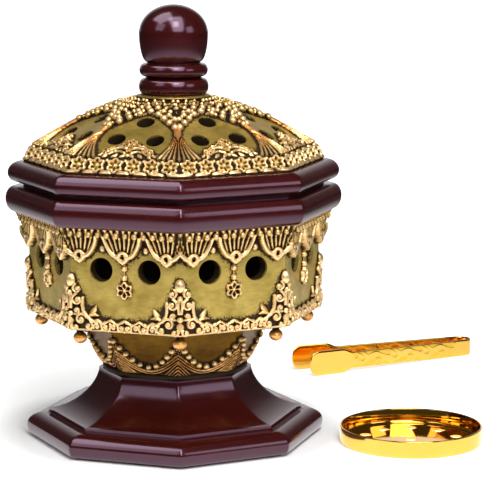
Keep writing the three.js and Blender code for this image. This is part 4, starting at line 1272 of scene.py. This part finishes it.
for row, count, seed in ((0, 9, 7), (1, 8, 8)):
    reachShare = 1 - 0.55 / count
    archPaths = sidePaths(vaultWall, lambda shares: vaultAlong(archFlat(shares, row)),
                          np.linspace(-reachShare, reachShare, 60), cage["beadRadius"] * 0.6)
    radius = cage["beadRadius"] * (1 - 0.12 * row)
    beads(f"arch_beads_{row + 1}", "lid", archPaths, count, radius, scatter=0.08, seed=seed)
print("dome and its ornament")

# Charcoal tray
tray = {
    "radius": 34, "height": 8.2, "wall": 0.9, "floor": 1.0, "footRound": 1.2, "lipRound": 0.45,
    "insideRound": 1.4, "footInset": 2.2, "floorInset": 2.4, "holes": 10, "ring": 22.8, "holeRadius": 2.8,
    "square": 5.2, "middle": 3.0, "turn": 10,
}


def trayRows():
    size = tray
    outer, inner, floor, top = size["radius"], size["radius"] - size["wall"], size["floor"], size["height"]
    foot, lip, corner = size["footRound"], size["lipRound"], size["insideRound"]
    return roundRows([
        (0.0, 0.0), (outer - size["footInset"], 0.0), (outer - foot, 0.0),
        *arc((outer - foot, foot), (foot, foot), -80, 0, 8),
        (outer, top - 0.5), *arc((outer - lip, top - lip), (lip, lip), 20, 160, 8),
        (inner, floor + corner), *arc((inner - corner, floor + corner), (corner, corner), -10, -80, 8),
        (inner - corner, floor), (inner - size["floorInset"], floor), (0.0, floor),
    ])


def trayHoles():  # round and square holes by turns, and one in the middle
    size = tray
    start = math.radians(size["turn"])
    holes = []
    for i in range(size["holes"]):
        turn = start + tau * i / size["holes"]
        square = (size["ring"], size["square"] / math.sqrt(2), 4, turn)
        holes.append(square if i % 2 else (size["ring"], size["holeRadius"], 40, turn))
    holes.append((0.0, size["middle"], 40, start + tau))
    points, faces = [], []
    for reach, radius, count, turn in holes:
        first = len(points)
        middleX, middleY = reach * math.cos(turn), reach * math.sin(turn)
        turns = turn + (math.pi / 4 if count == 4 else 0) + np.linspace(0, tau, count + 1)[:-1]
        loop = np.c_[middleX + radius * np.cos(turns), middleY + radius * np.sin(turns)]
        points += [(x, y, z) for z in (-2, size["floor"] + 2) for x, y in loop]
        low = [first + j for j in range(count)]
        high = [first + count + j for j in range(count)]
        faces += [low[::-1], high]
        faces += [[low[j], low[(j + 1) % count], high[(j + 1) % count], high[j]] for j in range(count)]
    mesh = bpy.data.meshes.new("holes")
    mesh.from_pydata((np.array(points) * mm).tolist(), [], faces)
    return newObject("holes", mesh)


def trayPiece():
    dish = moulding("tray_dish", trayRows(), "polished_gold", 192, creaseAngle=40)
    cutter = trayHoles()
    cut = dish.modifiers.new("cut", "BOOLEAN")
    cut.object = cutter
    cut.solver = "EXACT"
    pierced = evaluatedMesh(dish)
    bpy.data.objects.remove(dish)
    bpy.data.objects.remove(cutter)
    low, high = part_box("charcoal_tray")
    centre = Vector(((low[0] + high[0]) / 2 / mm, (low[1] + high[1]) / 2 / mm, 0))
    pierced.transform(Matrix.Translation(centre * mm))
    ridesOn(finishedPiece("tray_pressed", pierced, "polished_gold", 40), "tray", "charcoal_tray")


trayPiece()
print("tray")

# Tongs: one bent strip with embossed arms
tongs = {
    "arm": 106, "strip": 9, "thick": 1, "bowRadius": 5.6, "splay": 2.4,
    "bladeHeight": 13.3, "bladeLength": 21, "flare": 7, "bladeCorner": 5.2, "heading": 26,
    "emboss": 0.13, "vinePitch": 22,
}


def vine(run, w):  # leaves by turns on both sides of a wavy stem
    pitch = tongs["vinePitch"]
    spot = run / pitch * 2 + 0.5
    u, v = (spot % 1 - 0.5) * pitch / 2, w * np.where(spot.astype(int) % 2 == 0, 1, -1)
    return highest(leaf(u, v, (-6.4, 2.4), (6.0, -2.6), 1.6, 1, 0.08),
                   leaf(u, v, (-1.6, -0.4), (5.2, 3.6), 1.1, 1, -0.1),
                   leaf(u, v, (-6.8, -0.6), (-1.8, -3.6), 1.0, 1, 0.1),
                   1 - 3 * np.abs(w - 1.2 * np.sin(tau * run / pitch)))


def tongsPiece():
    size = tongs
    squeeze = next(joint for joint in frame["joints"] if joint["name"] == "tongs_squeeze")
    centre = np.array(Vector(squeeze["pos_m"]) / mm)
    up = -Vector(squeeze["axis"]).normalized()
    splay = math.radians(size["splay"])
    thick, emboss, blade = size["thick"], size["emboss"], size["bladeLength"]
    middle = size["bowRadius"] - thick / 2
    bowLength = middle * (math.pi / 2 - splay)
    tip = size["arm"] + bowLength
    steps = np.concatenate([np.linspace(-tip, -bowLength, 300)[:-1],
                            np.linspace(-bowLength, bowLength, 41)[:-1],
                            np.linspace(bowLength, tip, 300)])
    sideSign = np.sign(steps)
    run = np.abs(steps) - bowLength  # along an arm from the bow
    turn = np.clip(np.abs(steps), 0, bowLength) / middle
    x = middle * np.cos(turn) - np.maximum(run, 0) * math.cos(splay)
    y = sideSign * (middle * np.sin(turn) + np.maximum(run, 0) * math.sin(splay))
    outX, outY = np.cos(turn), sideSign * np.sin(turn)
    fromTip = size["arm"] - run
    halfStrip, halfBlade = size["strip"] / 2, size["bladeHeight"] / 2
    half = halfBlade + (halfStrip - halfBlade) * smooth((fromTip - blade) / size["flare"])
    corner = size["bladeCorner"]
    tipDrop = np.clip(corner - fromTip, 0, corner) / corner
    cutBack = corner * (1 - np.sqrt(np.clip(1 - tipDrop**2, 0, 1)))
    half = np.where(fromTip < corner, half - cutBack, half)
    shares = np.sin(np.linspace(-math.pi / 2, math.pi / 2, 33))
    w = half[:, None] * shares[None, :]
    edge = 1 - (np.abs(w) / half[:, None]) ** 14
    along, runs = fromTip[:, None] + 0 * w, np.clip(run, 0, None)[:, None] + 0 * w
    forms = vine(runs, w)
    softened = np.concatenate([forms[:1], (forms[:-2] + 2 * forms[1:-1] + forms[2:]) / 4, forms[-1:]])
    ends = smooth((along - blade - size["flare"] * 0.6) / 5) * smooth((runs - 5) / 5)
    raised = smooth((softened + 0.9) / 1.9) * ends * emboss
    etch = (1 - smooth((forms + 0.25) / 0.5)) * ends * 0.85
    outer = (thick / 2 - emboss * ends + raised) * (0.4 + 0.6 * edge)
    inner = (thick / 2 - raised * 0.6) * (0.4 + 0.6 * edge)
    ahead = Matrix.Rotation(math.radians(size["heading"]), 3, "Z") @ Vector((1, 0, 0))
    ahead = (ahead - up * ahead.dot(up)).normalized()
    aside = up.cross(ahead)
    basis = np.array([ahead, aside, up])

    def skin(offset):
        local = np.stack([x[:, None] + outX[:, None] * offset, y[:, None] + outY[:, None] * offset, w], -1)
        return (local @ basis + centre).reshape(-1, 3)

    faces = columnFaces(np.arange(len(steps)), len(shares) - 1)
    points, faces, used = closedShell(skin(outer), skin(-inner), faces)
    etched = {"etch": np.tile(etch.ravel(), 2)[used]}
    piece = meshPiece("tongs_strip", points, faces, "polished_gold", etched, creaseAngle=50, merge=True)
    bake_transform(piece)
    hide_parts("tongs_far_arm", "tongs_near_arm")


tongsPiece()
print("tongs")

# What stays as it is in the frame
for node in ("base_felt", "tie_screw", "tie_washer", "knob_screw", "knob_washer"):
    dress(frame["nodes"][node].data, node if node in finishes else "zinc_steel")

# Floor, light and camera, in metres
studio = {
    "skyDiffuse": 0.18, "backdrop": 1.0, "room": 0.05, "backdropEdge": 0.80, "backdropFade": 0.16,
    "floor": (0.88, 0.88, 0.88, 1), "farFloor": (0.10, 0.10, 0.10, 1), "floorReach": 6.0, "floorGlow": 0.52,
    "farGlow": 0.55, "glowFrom": 0.25, "glowOver": 0.9, "paintedShadowFrom": 0.074, "paintedShadowOver": 0.030,
    "tableFrom": 0.20, "tableOver": 0.36, "target": (0.02, 0, 0.1),
    "lacquered": ("plinth_body", "bowl_rim_moulding", "lid_rim_moulding", "knob_body"),
}
lamps = {  # place, size and power
    "key": ((0.22, -0.86, 1.12), (0.90, 1.80), 22.0), "window": ((0.12, -0.80, 1.06), (0.34, 0.50), 4.6),
    "left": ((-0.88, -0.68, 0.84), (0.60, 0.70), 2.6), "right": ((0.98, -0.66, 0.56), (0.50, 0.50), 1.9),
    "sheen": ((-0.50, -0.06, 1.30), (0.90, 0.90), 10.5),
}
camera = {"place": (-0.0354, -1.0467, 0.2630), "heading": 3.80, "pitch": 9.38, "lens": 159.04}


def addWorld():  # white behind the object, and a dim room in what the object mirrors
    world = bpy.data.worlds.new("studio")
    bpy.context.scene.world = world
    world.use_nodes = True
    tree = world.node_tree
    rays = addNode(tree, "ShaderNodeLightPath")
    glossed = rays.output("Is Glossy Ray").combined("MAXIMUM", rays.output("Is Transmission Ray"))
    direction = addNode(tree, "ShaderNodeSeparateXYZ", inputs={0: addNode(tree, "ShaderNodeTexCoord")})
    behind = direction.output("Y").past(studio["backdropEdge"], studio["backdropFade"])
    mirrored = studio["room"] + behind * (studio["backdrop"] - studio["room"])
    unlit = studio["skyDiffuse"] + glossed * (mirrored - studio["skyDiffuse"])
    background = tree.nodes["Background"]
    plug(tree, background.inputs["Color"], (1, 1, 1, 1))
    plug(tree, background.inputs["Strength"], unlit + rays.output("Is Camera Ray") * (1.0 - unlit))


def addFloor():  # glows for the camera, with a painted shadow beside the plinth where the glow fades out, and is dim far off in reflections
    reach = studio["floorReach"]
    mesh = bpy.data.meshes.new("floor")
    corners = [(-reach, -reach, 0), (reach, -reach, 0), (reach, reach, 0), (-reach, reach, 0)]
    mesh.from_pydata(corners, [], [(0, 1, 2, 3)])
    material = bpy.data.materials.new("pale floor")
    material.use_nodes = True
    tree = material.node_tree
    tree.nodes.clear()
    rays = addNode(tree, "ShaderNodeLightPath")
    seen = rays.output("Is Camera Ray")
    glossed = rays.output("Is Glossy Ray") * (1 - seen)
    spot = addNode(tree, "ShaderNodeTexCoord", out=3)
    distance = addNode(tree, "ShaderNodeVectorMath", {"operation": "LENGTH"}, {0: spot}, out=1)
    farOff = distance.past(studio["glowFrom"], studio["glowOver"])
    offTable = distance.past(studio["tableFrom"], studio["tableOver"])
    # painted shadow: the camera glow is off close round the plinth and fades in further out
    outsidePaintedShadow = distance.past(studio["paintedShadowFrom"], studio["paintedShadowOver"])
    shade = addNode(tree, "ShaderNodeMix", {"data_type": "RGBA", "blend_type": "MIX"},
                    {0: glossed * offTable, 6: studio["floor"], 7: studio["farFloor"]}, out=2)
    diffuse = addNode(tree, "ShaderNodeBsdfDiffuse", inputs={"Color": shade})
    near = seen * (outsidePaintedShadow * studio["floorGlow"]) + glossed * (1 - offTable) * studio["floorGlow"]
    strength = near + seen * farOff * studio["farGlow"]
    glow = addNode(tree, "ShaderNodeEmission", inputs={"Color": (1, 1, 1, 1), "Strength": strength})
    both = addNode(tree, "ShaderNodeAddShader", inputs={0: diffuse, 1: glow})
    plug(tree, tree.nodes.new("ShaderNodeOutputMaterial").inputs["Surface"], both)
    mesh.materials.append(material)
    plane = newObject("floor", mesh)


def addLamps():
    for name, (place, size, power) in lamps.items():
        lamp = bpy.data.lights.new(name, "AREA")
        lamp.shape = "RECTANGLE"
        lamp.size, lamp.size_y = size
        lamp.energy = power
        holder = newObject(name, lamp)
        holder.location = place
        holder.rotation_euler = (Vector(studio["target"]) - Vector(place)).to_track_quat("-Z", "Y").to_euler()
    lacquered = bpy.data.collections.new("lacquered pieces")
    for name in studio["lacquered"]:
        lacquered.objects.link(bpy.data.objects[name])
    sheen = bpy.data.objects["sheen"]
    sheen.light_linking.receiver_collection = lacquered
    sheen.visible_diffuse = False


def addCamera():
    lens = bpy.data.cameras.new("camera")
    lens.lens = camera["lens"]
    lens.sensor_width = 36
    holder = newObject("camera", lens)
    holder.location = camera["place"]
    holder.rotation_euler = (math.radians(90 - camera["pitch"]), 0, math.radians(-camera["heading"]))
    bpy.context.scene.camera = holder
    bpy.context.scene.view_settings.view_transform = "Standard"


addWorld()
addFloor()
addLamps()
addCamera()
print("studio")
